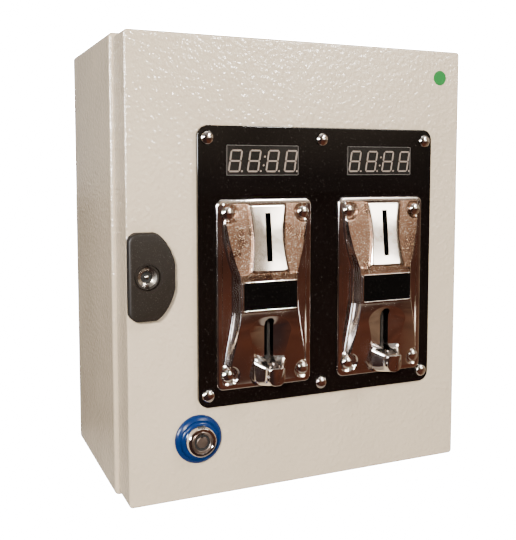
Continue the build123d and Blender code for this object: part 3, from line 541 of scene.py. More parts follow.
def hollow(bm: bmesh.types.BMesh, lip: float, wall: float, depth: float) -> None:
    """Open a slab's front into a frame.

    Args:
        bm: The slab.
        lip: Width of the frame's front.
        wall: How far the inner wall slopes in.
        depth: How far back it goes.
    """
    bm.normal_update()
    front = front_face(bm)
    bmesh.ops.inset_region(bm, faces=[front], thickness=lip, use_even_offset=True)
    bmesh.ops.inset_region(bm, faces=[front], thickness=wall, depth=-depth, use_even_offset=True)
    bmesh.ops.delete(bm, geom=[front], context="FACES_ONLY")


def merge_in(target: bmesh.types.BMesh, source: bmesh.types.BMesh) -> None:
    """Copy one bmesh into another and free it."""
    mesh = bpy.data.meshes.new("passing")
    source.to_mesh(mesh)
    source.free()
    target.from_mesh(mesh)
    bpy.data.meshes.remove(mesh)


def slab(
    x: tuple[float, float], y: tuple[float, float], z: tuple[float, float], corner: float = 0.0
) -> bmesh.types.BMesh:
    """A box whose corners are rounded as seen from the front.

    Args:
        x: Its two x values.
        y: Its front and rear depth.
        z: Its two heights.
        corner: Radius of its corners.

    Returns:
        The box.
    """
    bm = bmesh.new()
    size = (x[1] - x[0], y[1] - y[0], z[1] - z[0])
    middle = Vector(((x[0] + x[1]) / 2, (y[0] + y[1]) / 2, (z[0] + z[1]) / 2))
    bmesh.ops.create_cube(bm, size=1.0, matrix=Matrix.Translation(middle) @ Matrix.Diagonal((*size, 1.0)))
    if corner > 0:
        deep = [e for e in bm.edges if abs((e.verts[0].co - e.verts[1].co).normalized().y) > 0.9]
        soften(bm, deep, corner, 8)
    return bm


def front_rim(bm: bmesh.types.BMesh, y: float) -> list[bmesh.types.BMEdge]:
    """Edges round the faces that lie at depth y."""
    return [
        e
        for e in bm.edges
        if all(abs(v.co.y - y) < 1e-6 for v in e.verts) and any(abs(f.normal.y) < 0.5 for f in e.link_faces)
    ]


def soften(bm: bmesh.types.BMesh, edges: list[bmesh.types.BMEdge], width: float, segments: int) -> None:
    """Round off edges."""
    bmesh.ops.bevel(
        bm,
        geom=edges,
        offset=width,
        offset_type="OFFSET",
        affect="EDGES",
        segments=segments,
        profile=0.5,
        material=-1,
        clamp_overlap=True,
    )
    bm.normal_update()


def carve(target: bpy.types.Object, cutters: list[bmesh.types.BMesh]) -> None:
    """Cut shapes out of a finished piece with the exact solver, and keep the result in its mesh."""
    for bm in cutters:
        mesh = bpy.data.meshes.new("cutter")
        bm.to_mesh(mesh)
        bm.free()
        cutter = bpy.data.objects.new("cutter", mesh)
        bpy.context.scene.collection.objects.link(cutter)
        cut = target.modifiers.new("cut", "BOOLEAN")
        cut.operation = "DIFFERENCE"
        cut.solver = "EXACT"
        cut.object = cutter
        bpy.context.view_layer.update()
        depsgraph = bpy.context.evaluated_depsgraph_get()
        result = bpy.data.meshes.new_from_object(target.evaluated_get(depsgraph))
        target.modifiers.remove(cut)
        old = target.data
        result.name = old.name
        target.data = result
        bpy.data.meshes.remove(old)
        bpy.data.objects.remove(cutter)
        bpy.data.meshes.remove(mesh)
    tidy = bmesh.new()
    tidy.from_mesh(target.data)
    bmesh.ops.remove_doubles(tidy, verts=tidy.verts, dist=1e-6)
    shade(tidy)
    tidy.to_mesh(target.data)
    tidy.free()


def through(points: list[tuple[float, float]]) -> Callable[[float], float]:
    """The polynomial that passes through the points."""
    xs, ys = zip(*points)
    return np.poly1d(np.polyfit(xs, ys, len(points) - 1))


def ease(value: float) -> float:
    """Smooth step from 0 to 1."""
    value = max(0.0, min(1.0, value))
    return value * value * (3.0 - 2.0 * value)


def outline_slab(
    points: list[tuple[float, float]], front: float, rear: float, edge: float
) -> bmesh.types.BMesh:
    """A slab of any outline with softened front edges.

    Args:
        points: The outline's x and z, in order.
        front: Depth of its front face.
        rear: Depth of its rear face.
        edge: Width of the bevel round the front face.

    Returns:
        The slab.
    """
    bm = bmesh.new()
    face = bm.faces.new([bm.verts.new((x, rear, z)) for x, z in points])
    made = bmesh.ops.extrude_face_region(bm, geom=[face])
    bmesh.ops.translate(bm, vec=(0, front - rear, 0), verts=verts_in(made["geom"]))
    bm.faces.ensure_lookup_table()
    if not any(f.normal.y > 0.9 for f in bm.faces if all(abs(v.co.y - rear) < 1e-7 for v in f.verts)):
        base = [v for v in bm.verts if abs(v.co.y - rear) < 1e-7]
        bmesh.ops.contextual_create(bm, geom=base)
    bmesh.ops.recalc_face_normals(bm, faces=bm.faces)
    soften(bm, front_rim(bm, front), edge, 4)
    return bm


def arc(
    centre: tuple[float, float], radius: float, start: float, end: float, steps: int
) -> list[tuple[float, float]]:
    """Points on an arc, from start to end degrees."""
    angles = [math.radians(start + (end - start) * i / steps) for i in range(steps + 1)]
    return [(centre[0] + radius * math.cos(a), centre[1] + radius * math.sin(a)) for a in angles]


def centre_of(node: str) -> Vector:
    """Middle of a CAD node's box."""
    low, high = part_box(node)
    return (low + high) / 2


# ---------------------------------------------------------------- screws
@dataclass
class DomeScrews:
    """Dome-head screws of one kind: the heads and their shanks."""

    name: str
    centres: list[tuple[float, float]]
    seat: float
    end: float
    head_radius: float = 4.2 * MM
    head_height: float = 2.6 * MM
    shank_radius: float = 2.0 * MM

    def profile(self) -> list[tuple[float, float]]:
        """Half section from the dome's crown to the shank's end."""
        rim = 0.5 * MM
        rise = self.head_height - rim
        dome = [
            (self.head_radius * math.sin(a), self.seat - rim - rise * math.cos(a))
            for a in [math.radians(9 * i) for i in range(11)]
        ]
        return dome + [
            (self.head_radius, self.seat),
            (self.shank_radius, self.seat),
            (self.shank_radius, self.end),
            (0.0, self.end),
        ]

    def build(self) -> bpy.types.Object:
        """Turn every screw and publish them as one piece."""
        group = bmesh.new()
        for centre in self.centres:
            merge_in(group, turned(self.profile(), centre, 40))
        return publish(group, self.name + "_domes", "door", "screw_chrome", replaces=(self.name,))


# ---------------------------------------------------------------- coin face plates
@dataclass
class FacePlate:
    """A plated coin face: rimmed flange, hourglass shield, return scoop and spout.

    Heights on the face are counted from ref, the waisted block's middle line, and levels
    forwards from the flange's front.
    """

    side: str
    flange_w: float = 67.0 * MM
    flange_h: float = 123.0 * MM
    corner: float = 4.5 * MM
    band: float = 4.2 * MM
    recess: float = 0.6 * MM
    row: float = 0.6 * MM
    round_over: float = 0.5 * MM
    cove: float = 3.4 * MM
    foot: float = -76.3 * MM
    head: float = 42.4 * MM
    waist_top: float = -3.0 * MM
    waist_low: float = -27.0 * MM
    waist_half: float = 20.4 * MM
    window_half: float = 18.9 * MM
    window_span: tuple[float, float] = (-25.9 * MM, -7.3 * MM)
    slot_half: float = 1.95 * MM
    slot_span: tuple[float, float] = (5.2 * MM, 36.2 * MM)
    channel_half: float = 3.2 * MM
    channel_span: tuple[float, float] = (-60.0 * MM, -31.2 * MM)
    block_span: tuple[float, float] = (-1.0 * MM, 41.2 * MM)
    block_rise: float = 1.7 * MM
    block_cove: float = 2.4 * MM
    scoop_top: float = -29.6 * MM
    scoop_spring: float = -39.5 * MM
    scoop_half: float = 14.6 * MM
    scoop_foot: float = -56.7 * MM
    scoop_foot_half: float = 10.4 * MM
    valley: float = 5.4 * MM
    facet_end: float = -60.0 * MM
    window_seat: float = 6.3 * MM
    seat_level: float = 0.95 * MM
    seat_radius: float = 4.8 * MM
    seat_slope: float = 2.2 * MM
    seat_x: float = 26.5 * MM
    seat_zs: tuple[float, float] = (36.2 * MM, -68.0 * MM)
    edge_drop: float = 0.35 * MM

    def __post_init__(self) -> None:
        """Find the plate's place and its outline curves."""
        low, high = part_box(f"{self.side}_face_plate")
        self.x = (low.x + high.x) / 2
        self.rear = high.y
        self.face = high.y - 2.0 * MM
        self.middle = (low.z + high.z) / 2
        self.ref = self.middle + 16.4 * MM
        self.edge_x = self.flange_w / 2 - self.band + 0.1 * MM
        self.outline_top = through([(-3, 20.4), (8, 24.0), (29, 28.2), (42, 29.0)])
        self.outline_low = through([(-27, 20.4), (-42, 22.8), (-65, 27.2), (-76, 28.2)])
        self.height_top = through([(-3, 7.4), (18, 4.4), (31, 2.9), (43, 1.2)])
        self.height_low = through([(-27, 9.0), (-38, 9.4), (-55, 7.4), (-77, 1.4)])

    def half_width(self, z: float) -> float:
        """Half width of the shield at height z."""
        if z > self.waist_top:
            half = self.outline_top(z / MM) * MM
        elif z < self.waist_low:
            half = self.outline_low(z / MM) * MM
        else:
            half = self.waist_half
        return min(half, self.edge_x - 0.4 * MM)

    def crest(self, z: float) -> float:
        """Level of the shield's middle at height z."""
        if z > self.waist_top:
            return self.height_top(z / MM) * MM
        if z < self.waist_low:
            return self.height_low(z / MM) * MM
        along = (self.waist_top - z) / (self.waist_top - self.waist_low)
        return (7.6 + 1.4 * along) * MM

    def block_half(self, z: float) -> float:
        """Half width of the waisted block at height z."""
        low, high = self.block_span
        along = max(0.0, min(1.0, (z - low) / (high - low)))
        return (12.5 - 2.3 * math.sin(math.pi * along)) * MM

    def scoop_width(self, z: float) -> float:
        """Half width of the return scoop at height z."""
        if z > self.scoop_spring:
            along = min(1.0, (z - self.scoop_spring) / (self.scoop_top - self.scoop_spring))
            return self.scoop_half * math.sqrt(1.0 - along**2)
        along = min(1.0, (self.scoop_spring - z) / (self.scoop_spring - self.scoop_foot))
        return self.scoop_half + (self.scoop_foot_half - self.scoop_half) * along

    def inner_edge(self, z: float) -> float:
        """Half width of whatever feature stands or sinks in the shield's middle at height z."""
        low, high = self.block_span
        if low <= z <= high:
            return self.block_half(z)
        if z < self.scoop_top:
            return max(self.channel_half + 0.4 * MM, self.scoop_width(z))
        if z < self.waist_low:
            along = (self.waist_low - z) / (self.waist_low - self.scoop_top)
            return (13.0 + (3.6 - 13.0) * along) * MM
        return 12.6 * MM

    def columns(self, z: float) -> list[float]:
        """Where the grid's lines cross height z, from the middle outwards."""
        half, inner = self.half_width(z), self.inner_edge(z)
        spans = [
            (self.slot_half, 2),
            (self.channel_half, 2),
            (inner - min(0.35 * MM, (inner - self.channel_half) / 2), 9),
            (inner, 3),
            (min(inner + self.block_cove, self.window_half - 0.6 * MM), 6),
            (self.window_half, 5),
            (half - self.round_over, 14),
            (half, 3),
            (min(half + self.cove, self.edge_x - 0.1 * MM), 9),
            (self.edge_x + 0.3 * MM, 3),
        ]
        lines, at = [0.0], 0.0
        for stop, count in spans:
            lines += [at + (stop - at) * (i + 1) / count for i in range(count)]
            at = stop
        return lines

    def rows(self) -> list[float]:
        """Heights of the grid's rows, closer together round the scoop's arch."""
        stops = [
            self.ref_span[0],
            self.facet_end,
            self.scoop_foot,
            self.scoop_spring,
            self.channel_span[1],
            self.scoop_top,
            self.waist_low,
            self.window_span[0],
            self.window_span[1],
            self.waist_top,
            self.block_span[0],
            self.block_span[0] + 0.5 * MM,
            self.slot_span[0],
            self.slot_span[1],
            self.block_span[1] - 0.5 * MM,
            self.block_span[1],
            self.head,
            self.ref_span[1],
        ]
        made: list[float] = []
        for low, high in zip(stops, stops[1:]):
            step = 0.25 * MM if self.scoop_spring - 1 * MM < low < self.waist_low else self.row
            if low < self.facet_end or low > self.slot_span[1] - 12 * MM:
                step = 0.42 * MM
            count = max(1, round((high - low) / step))
            made += [low + (high - low) * i / count for i in range(count)]
        return made + [stops[-1]]

    @property
    def ref_span(self) -> tuple[float, float]:
        """Lowest and highest row, just under the flange's band."""
        half = self.flange_h / 2 - self.band + 0.4 * MM
        offset = self.middle - self.ref
        return (offset - half, offset + half)

    def raised_block(self, x: float, z: float) -> float:
        """Extra level of the waisted block round the coin slot."""
        low, high = self.block_span
        inside = min(self.block_half(z) - abs(x), z - low, high - z)
        if inside > 0:
            return self.block_rise * (0.82 + 0.18 * ease(inside / self.round_over))
        return 0.82 * self.block_rise * max(0.0, 1.0 + inside / self.block_cove) ** 2.2

    def sunk_scoop(self, x: float, z: float, level: float) -> float:
        """Level inside the return scoop: two sloping walls, a sloping head and two foot facets."""
        half = self.scoop_width(z)
        if z >= self.scoop_top or abs(x) >= half:
            return level
        share = min(1.0, (half - abs(x)) / (half - self.channel_half)) if half > self.channel_half else 0.0
        if z < self.scoop_foot:
            along = min(1.0, (self.scoop_foot - z) / (self.scoop_foot - self.facet_end))
            outer, inner = (7.2 + 1.6 * along) * MM, self.valley + 5.0 * MM * along
            return outer + (inner - outer) * share
        walls = level + (self.valley - level) * share
        arch = self.scoop_top - self.scoop_spring
        reach = math.hypot(x / self.scoop_half, max(0.0, z - self.scoop_spring) / arch)
        return max(walls, level - 0.62 * (1.0 - reach) * arch)

    def level(self, x: float, z: float) -> float:
        """Level of the plate's surface."""
        half = self.half_width(z)
        inside = min(half - abs(x), z - self.foot, self.head - z)
        top = self.crest(z) * (1.0 - 0.12 * (x / half) ** 2)
        if self.waist_top - 1 * MM < z:
            top += self.raised_block(x, z)
        if inside > 0:
            level = top - self.edge_drop * (1.0 - ease(inside / self.round_over))
        else:
            fade = max(0.0, 1.0 + inside / self.cove) ** 3.0
            level = -self.recess + (top - self.edge_drop + self.recess) * fade
        for seat_z in self.seat_zs:
            away = math.hypot(abs(x) - self.seat_x, z - seat_z)
            level += (self.seat_level - level) * (1.0 - ease((away - self.seat_radius) / self.seat_slope))
        low, high = self.window_span
        if low < z < high and abs(x) < self.window_half:
            level = min(level, self.window_seat)
        return self.sunk_scoop(x, z, level)

    def is_open(self, point: Vector) -> bool:
        """Whether a point of the shield lies in the coin slot or the round-headed channel."""
        x, z = abs(point.x - self.x), point.z - self.ref
        in_slot = x < self.slot_half and self.slot_span[0] < z < self.slot_span[1]
        over = max(0.0, z - (self.channel_span[1] - self.channel_half))
        in_channel = math.hypot(x, over) < self.channel_half and z > self.channel_span[0]
        return in_slot or in_channel

    def build_shield(self) -> bpy.types.Object:
        """Shape a grid into the shield, and open the coin slot and the return channel through it."""
        zs = self.rows()
        lines = [[-x for x in reversed(row[1:])] + row for row in map(self.columns, zs)]
        across, up = len(lines[0]) - 1, len(zs) - 1
        bm = bmesh.new()
        bmesh.ops.create_grid(bm, x_segments=across, y_segments=up, size=1.0)
        for vert in bm.verts:
            i = round((vert.co.x + 1.0) / 2.0 * across)
            j = round((vert.co.y + 1.0) / 2.0 * up)
            x, z = lines[j][i], zs[j]
            vert.co = (self.x + x, self.face - self.level(x, z), self.ref + z)
        gone = [f for f in bm.faces if self.is_open(f.calc_center_median())]
        bmesh.ops.delete(bm, geom=gone, context="FACES")
        made = bmesh.ops.extrude_face_region(bm, geom=list(bm.faces), use_keep_orig=True)
        for vert in verts_in(made["geom"]):
            vert.co.y = self.rear
        bmesh.ops.recalc_face_normals(bm, faces=bm.faces)
        piece = publish(bm, f"{self.side}_shield", "door", "face_chrome", angle=32.0)
        # The grained zone takes the grain material, whose dark brown base colour is painted reflection and
        # shade.
        piece.data.materials.append(GRAINY_PAINTED_REFLECTION)
        for polygon in piece.data.polygons:
            x, z = polygon.center.x - self.x, polygon.center.z - self.ref
            on_block = abs(x) < self.block_half(z) and self.block_span[0] < z < self.block_span[1]
            on_shield = abs(x) < self.half_width(z) - self.round_over
            if z > self.window_span[1] and on_shield and not on_block and polygon.center.y < self.face:
                polygon.material_index = 1
        return piece

    def build_flange(self) -> bpy.types.Object:
        """The flat rim round the shield, with a rolled outer edge and an inner step."""
        half_w, half_h = self.flange_w / 2, self.flange_h / 2
        step = 0.6 * MM
        bm = slab(
            (self.x - half_w, self.x + half_w),
            (self.face, self.rear),
            (self.middle - half_h, self.middle + half_h),
            self.corner,
        )
        bm.normal_update()
        front = front_face(bm)
        bmesh.ops.inset_region(bm, faces=[front], thickness=self.band - step, use_even_offset=True)
        bmesh.ops.inset_region(
            bm, faces=[front], thickness=step, depth=-self.recess - 0.1 * MM, use_even_offset=True
        )
        rear = next(f for f in bm.faces if f.normal.y > 0.9)
        bmesh.ops.inset_region(bm, faces=[rear], thickness=self.band, use_even_offset=True)
        loops = [*front.edges, *rear.edges]
        bmesh.ops.delete(bm, geom=[front, rear], context="FACES_ONLY")
        bmesh.ops.bridge_loops(bm, edges=loops)
        outer = [e for e in front_rim(bm, self.face) if self.on_outside(e)]
        soften(bm, outer, 1.2 * MM, 5)
        bmesh.ops.recalc_face_normals(bm, faces=bm.faces)
        return publish(
            bm, f"{self.side}_flange", "door", "face_chrome", replaces=(f"{self.side}_face_plate",)
        )

    def on_outside(self, edge: bmesh.types.BMEdge) -> bool:
        """Whether an edge lies on the flange's outer outline."""
        away = self.band / 2
        x = abs((edge.verts[0].co.x + edge.verts[1].co.x) / 2 - self.x)
        z = abs((edge.verts[0].co.z + edge.verts[1].co.z) / 2 - self.middle)
        return x > self.flange_w / 2 - away or z > self.flange_h / 2 - away

    def ring(self, half: float, low: float, high: float, corner: float) -> list[tuple[float, float]]:
        """Section of the spout as seen from the front: round below, nearly square on top."""
        x, top = self.x, 1.2 * MM
        low, high = self.ref + low, self.ref + high
        return [
            *arc((x + half - corner, low + corner), corner, -90, 0, 8),
            *arc((x + half - top, high - top), top, 0, 90, 4),
            *arc((x - half + top, high - top), top, 90, 180, 4),
            *arc((x - half + corner, low + corner), corner, 180, 270, 8),
        ]

    def spout_sections(self) -> list[tuple[float, float, float, float, float]]:
        """Level, half width, foot, top and lower corner radius of each section, in millimetres."""
        half = through([(8.0, 11.0), (12.0, 8.6), (16.0, 6.3), (19.0, 5.5)])
        top = through([(8.0, -58.6), (12.0, -60.2), (16.0, -61.2), (19.0, -61.6)])
        sections = [(-0.4, 11.0, -74.4, -57.4, 4.5), (7.6, 11.0, -74.6, -58.4, 4.5)]
        sections += [
            (h, half(h), -74.8 + 0.16 * (h - 8.0), top(h), 4.6) for h in [8.0 + 0.5 * i for i in range(23)]
        ]
        return sections + [(19.5, 5.3, -72.8, -61.7, 4.5), (19.8, 4.9, -72.3, -61.9, 4.2)]

    def build_spout(self) -> bpy.types.Object:
        """The return cup that stands out below the scoop, drawn forwards section by section."""
        bm = bmesh.new()
        sections = self.spout_sections()
        first = self.ring(*[value * MM for value in sections[0][1:]])
        made = bmesh.ops.create_circle(bm, cap_ends=True, segments=len(first), radius=1.0)
        loop = made["verts"]
        for vert, (x, z) in zip(loop, first):
            vert.co = (x, self.face - sections[0][0] * MM, z)
        cap = loop[0].link_faces[0]
        for section in sections[1:]:
            made = bmesh.ops.extrude_face_region(bm, geom=[cap], use_keep_orig=section is sections[1])
            cap = next(g for g in made["geom"] if isinstance(g, bmesh.types.BMFace))
            places = self.ring(*[value * MM for value in section[1:]])
            older = dict(zip(loop, places))
            fresh = {}
            for vert in cap.verts:
                below = next(e.other_vert(vert) for e in vert.link_edges if e.other_vert(vert) in older)
                x, z = older[below]
                vert.co = (x, self.face - section[0] * MM, z)
                fresh[below] = vert
            loop = [fresh[v] for v in loop]
        split = bmesh.ops.bisect_plane(
            bm,
            geom=[cap, *cap.edges, *cap.verts],
            dist=1e-6,
            plane_co=(self.x + 0.8 * MM, 0, 0),
            plane_no=(1, 0, 0),
        )
        for vert in verts_in(split["geom_cut"]):
            vert.co.y -= 0.7 * MM
        bmesh.ops.recalc_face_normals(bm, faces=bm.faces)
        piece = publish(bm, f"{self.side}_spout", "door", "face_chrome", angle=40.0)
        carve(piece, [self.groove()])
        return piece

    def groove(self) -> bmesh.types.BMesh:
        """The cutter that hollows the spout: a flat-sided trough with a curved floor."""
        bm = bmesh.new()
        floor = [(3.0, -62.0), (-4.0, -64.5), (-10.0, -66.0), (-14.5, -64.5), (-16.8, -61.0)]
        floor += [(-17.0, -50.0), (3.0, -50.0)]
        left = self.x - self.channel_half
        corners = [bm.verts.new((left, self.face + y * MM, self.ref + z * MM)) for y, z in floor]
        made = bmesh.ops.extrude_face_region(bm, geom=[bm.faces.new(corners)], use_keep_orig=True)
        bmesh.ops.translate(bm, vec=(2 * self.channel_half, 0, 0), verts=verts_in(made["geom"]))
        bmesh.ops.recalc_face_normals(bm, faces=bm.faces)
        return bm

    def build_window_frame(self) -> bpy.types.Object:
        """Thin bright frame round the dark window."""
        low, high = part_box(f"{self.side}_face_window")
        lip = 0.4 * MM
        front_y = low.y - 0.35 * MM
        bm = slab((low.x - lip, high.x + lip), (front_y, high.y), (low.z - lip, high.z + lip), 1.5 * MM)
        hollow(bm, lip + 0.25 * MM, 0.05 * MM, 0.6 * MM)
        soften(bm, front_rim(bm, front_y), 0.18 * MM, 2)
        return publish(bm, f"{self.side}_window_frame", "door", "face_chrome")

    def build(self) -> None:
        """Build every piece of the plate."""
        self.build_flange()
        self.build_shield()
        self.build_spout()
        self.build_window_frame()


# ---------------------------------------------------------------- displays
class Mark(Enum):
    """What a display cell can show."""

    EIGHT = "eight"
    POINT = "point"
    COLON = "colon"


@dataclass
class Display:
    """A four-digit unlit display behind a thin bezel."""

    side: str
    slant: float = math.radians(9)
    digit_w: float = 7.2 * MM
    digit_h: float = 13.3 * MM
    pitch: float = 13.0 * MM
    stroke: float = 1.0 * MM
    gap: float = 0.22 * MM
    proud: float = 0.12 * MM
    bezel: float = 0.3 * MM
    shift: float = 0.35 * MM
    drop: float = 0.4 * MM

    def __post_init__(self) -> None:
        """Find the display's face."""
        self.low, self.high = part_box(f"{self.side}_display")
        self.middle = (self.low + self.high) / 2
        self.front = self.low.y

    def leaning(self, x: float, z: float) -> tuple[float, float, float]:
        """A point of the face, leant over with the digits."""
        lean = z * math.tan(self.slant)
        return (self.middle.x + x + lean, self.front - self.proud, self.middle.z + z - self.drop)

    def bar(self, bm: bmesh.types.BMesh, start: Vector, end: Vector) -> None:
        """One hexagonal segment from start to end."""
        along = (end - start).normalized()
        across = Vector((-along.y, along.x)) * self.stroke / 2
        start, end = start + along * self.gap, end - along * self.gap
        tip = along * self.stroke / 2
        upper = [start + tip + across, end - tip + across]
        lower = [end - tip - across, start + tip - across]
        points = [start, *upper, end, *lower]
        face = bm.faces.new([bm.verts.new(self.leaning(p.x, p.y)) for p in points])
        self.thicken(bm, face)

    def thicken(self, bm: bmesh.types.BMesh, face: bmesh.types.BMFace) -> None:
        """Give a flat mark its thickness, back to the display's face."""
        made = bmesh.ops.extrude_face_region(bm, geom=[face])
        bmesh.ops.translate(bm, vec=(0, self.proud, 0), verts=verts_in(made["geom"]))

    def dot(self, bm: bmesh.types.BMesh, x: float, z: float) -> None:
        """A round point."""
        radius = 0.62 * self.stroke
        made = bmesh.ops.create_circle(bm, cap_ends=True, segments=12, radius=radius)
        for vert in made["verts"]:
            vert.co = self.leaning(x + vert.co.x, z + vert.co.y)
        self.thicken(bm, made["verts"][0].link_faces[0])

    def draw(self, bm: bmesh.types.BMesh, mark: Mark, x: float) -> None:
        """Draw one mark centred on x."""
        half_w, half_h = self.digit_w / 2, self.digit_h / 2
        if mark is Mark.EIGHT:
            corners = [Vector((x + i * half_w, j * half_h)) for j in (-1, 0, 1) for i in (-1, 1)]
            for a, b in ((0, 1), (2, 3), (4, 5), (0, 2), (1, 3), (2, 4), (3, 5)):
                self.bar(bm, corners[a], corners[b])
        elif mark is Mark.POINT:
            self.dot(bm, x, -half_h + 0.1 * MM)
        else:
            self.dot(bm, x, 0.42 * half_h)
            self.dot(bm, x, -0.42 * half_h)

    def build_marks(self) -> bpy.types.Object:
        """All digits, points and the colon, as one piece."""
        bm = bmesh.new()
        for i in range(4):
            x = (i - 1.5) * self.pitch + self.shift
            self.draw(bm, Mark.EIGHT, x)
            self.draw(bm, Mark.POINT, x + self.digit_w / 2 + 1.9 * MM)
        self.draw(bm, Mark.COLON, self.shift + 0.5 * MM)
        bmesh.ops.recalc_face_normals(bm, faces=bm.faces)
        return publish(bm, f"{self.side}_display_digits", "door", "display_face", SEGMENT)

    def build_bezel(self) -> bpy.types.Object:
        """Thin light frame round the display's edge."""
        over = 0.1 * MM
        bm = slab(
            (self.low.x - over, self.high.x + over),
            (self.front - 0.45 * MM, self.front + 1.0 * MM),
            (self.low.z - over, self.high.z + over),
            0.6 * MM,
        )
        hollow(bm, self.bezel, 0.03 * MM, 0.43 * MM)
        return publish(bm, f"{self.side}_display_bezel", "door", "display_face", BEZEL)

    def build(self) -> None:
        """Build the digits and the bezel."""
        self.build_marks()
        self.build_bezel()


# ---------------------------------------------------------------- quarter-turn latch
@dataclass
class Latch:
    """Half-moon latch plate and its round core."""

    corner: float = 6.0 * MM
    straight_half: float = 6.7 * MM
    bulge_w: float = 12.8 * MM
    edge: float = 1.5 * MM

    def __post_init__(self) -> None:
        """Find the latch's box and its core."""
        self.low, self.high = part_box("latch_housing")
        self.core = centre_of("latch_insert")
        self.insert_low, self.insert_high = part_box("latch_insert")

    def outline(self) -> list[tuple[float, float]]:
        """Half-moon: a straight left side, rounded corners and a bulging right side."""
        left, right = self.low.x, self.high.x
        low, high = self.low.z, self.high.z
        rise = (high - low) / 2 - self.straight_half
        middle, springing = (low + high) / 2, right - self.bulge_w
        turns = [math.radians(90 * i / 24) for i in range(25)]
        bulge = [(self.bulge_w * math.cos(t) ** 1.33, rise * math.sin(t) ** 1.33) for t in turns]
        upper = [(springing + x, middle + self.straight_half + z) for x, z in bulge]
        lower = [(springing + x, middle - self.straight_half - z) for x, z in reversed(bulge)]
        top = arc((left + self.corner, high - self.corner), self.corner, 90, 180, 8)
        foot = arc((left + self.corner, low + self.corner), self.corner, 180, 270, 8)
        return upper + top + foot + lower

    def build_housing(self) -> bpy.types.Object:
        """The black plate with its boss through the door."""
        rear = self.low.y + 7.0 * MM
        bm = outline_slab(self.outline(), self.low.y, rear, self.edge)
        piece = publish(bm, "latch_plate", "door", "latch_black", angle=40.0, replaces=("latch_housing",))
        centre = (self.core.x, self.core.z)
        pocket = section(self.low.y, [(0, -2), (8.15, -2), (8.15, 3), (5.1, 3), (5.1, 9), (0, 9)])
        carve(piece, [turned(pocket, centre)])
        bore, wall, end = 5.05 * MM, 7.7 * MM, self.high.y
        boss = [(bore, rear), (wall, rear), (wall, end), (bore, end), (bore, rear)]
        publish(turned(boss, centre), "latch_boss", "door", "latch_black")
        return piece

    def build_core(self) -> None:
        """The turning core: black rim, bright bowl, insert, driving pin and shaft, and a near-black disc of
        painted shade in the keyhole.
        """
        front, rear = self.insert_low.y, self.insert_high.y
        x, z = centre = (self.core.x, self.core.z)
        rim = [(6.05, 2.6), (6.05, 0.5), (6.4, 0.15), (6.9, 0), (7.3, 0), (7.8, 0.4), (7.8, 2.6), (6.05, 2.6)]
        bowl = [(0, 4.4), (3.4, 4.4), (3.7, 1.9), (4.5, 1.5), (5.4, 0.9), (6, 0.5), (6, 2.6), (5, 2.6)]
        shaft = section(rear, [(5, -3.2), (3, -3.2), (3, 0), (0, 0)])
        black = publish(
            turned(section(front, rim), centre, 56),
            "latch_core_rim",
            "latch",
            "latch_metal",
            MATERIALS["latch_black"],
        )
        bright = publish(
            turned(section(front, bowl) + shaft, centre, 56),
            "latch_core_bowl",
            "latch",
            "latch_metal",
            replaces=("latch_insert",),
        )
        across, deep, half = (x - 1.3 * MM, x + 1.3 * MM), (front - 1 * MM, front + 2.4 * MM), 1.3 * MM
        for piece in (black, bright):
            notches = [z - 5.9 * MM, z + 5.9 * MM]
            carve(piece, [slab(across, deep, (at - half, at + half)) for at in notches])
        # A near-black disc just in front of the bowl's floor: painted shade for the keyhole's depth.
        floor = section(front, [(0, 4.0), (3.4, 4.0), (3.4, 4.3), (0, 4.3)])
        publish(turned(floor, centre), "latch_keyhole_painted_shade", "latch", "latch_metal", PAINTED_SHADE_DARK)
        pin = section(front, [(0, 1.2), (0.9, 1.4), (1.4, 1.9), (1.4, 4.1), (0, 4.1)])
        publish(turned(pin, centre, 24), "latch_pin", "latch", "latch_metal")

    def build(self) -> None:
        """Build the plate and its core."""
        self.build_housing()
        self.build_core()


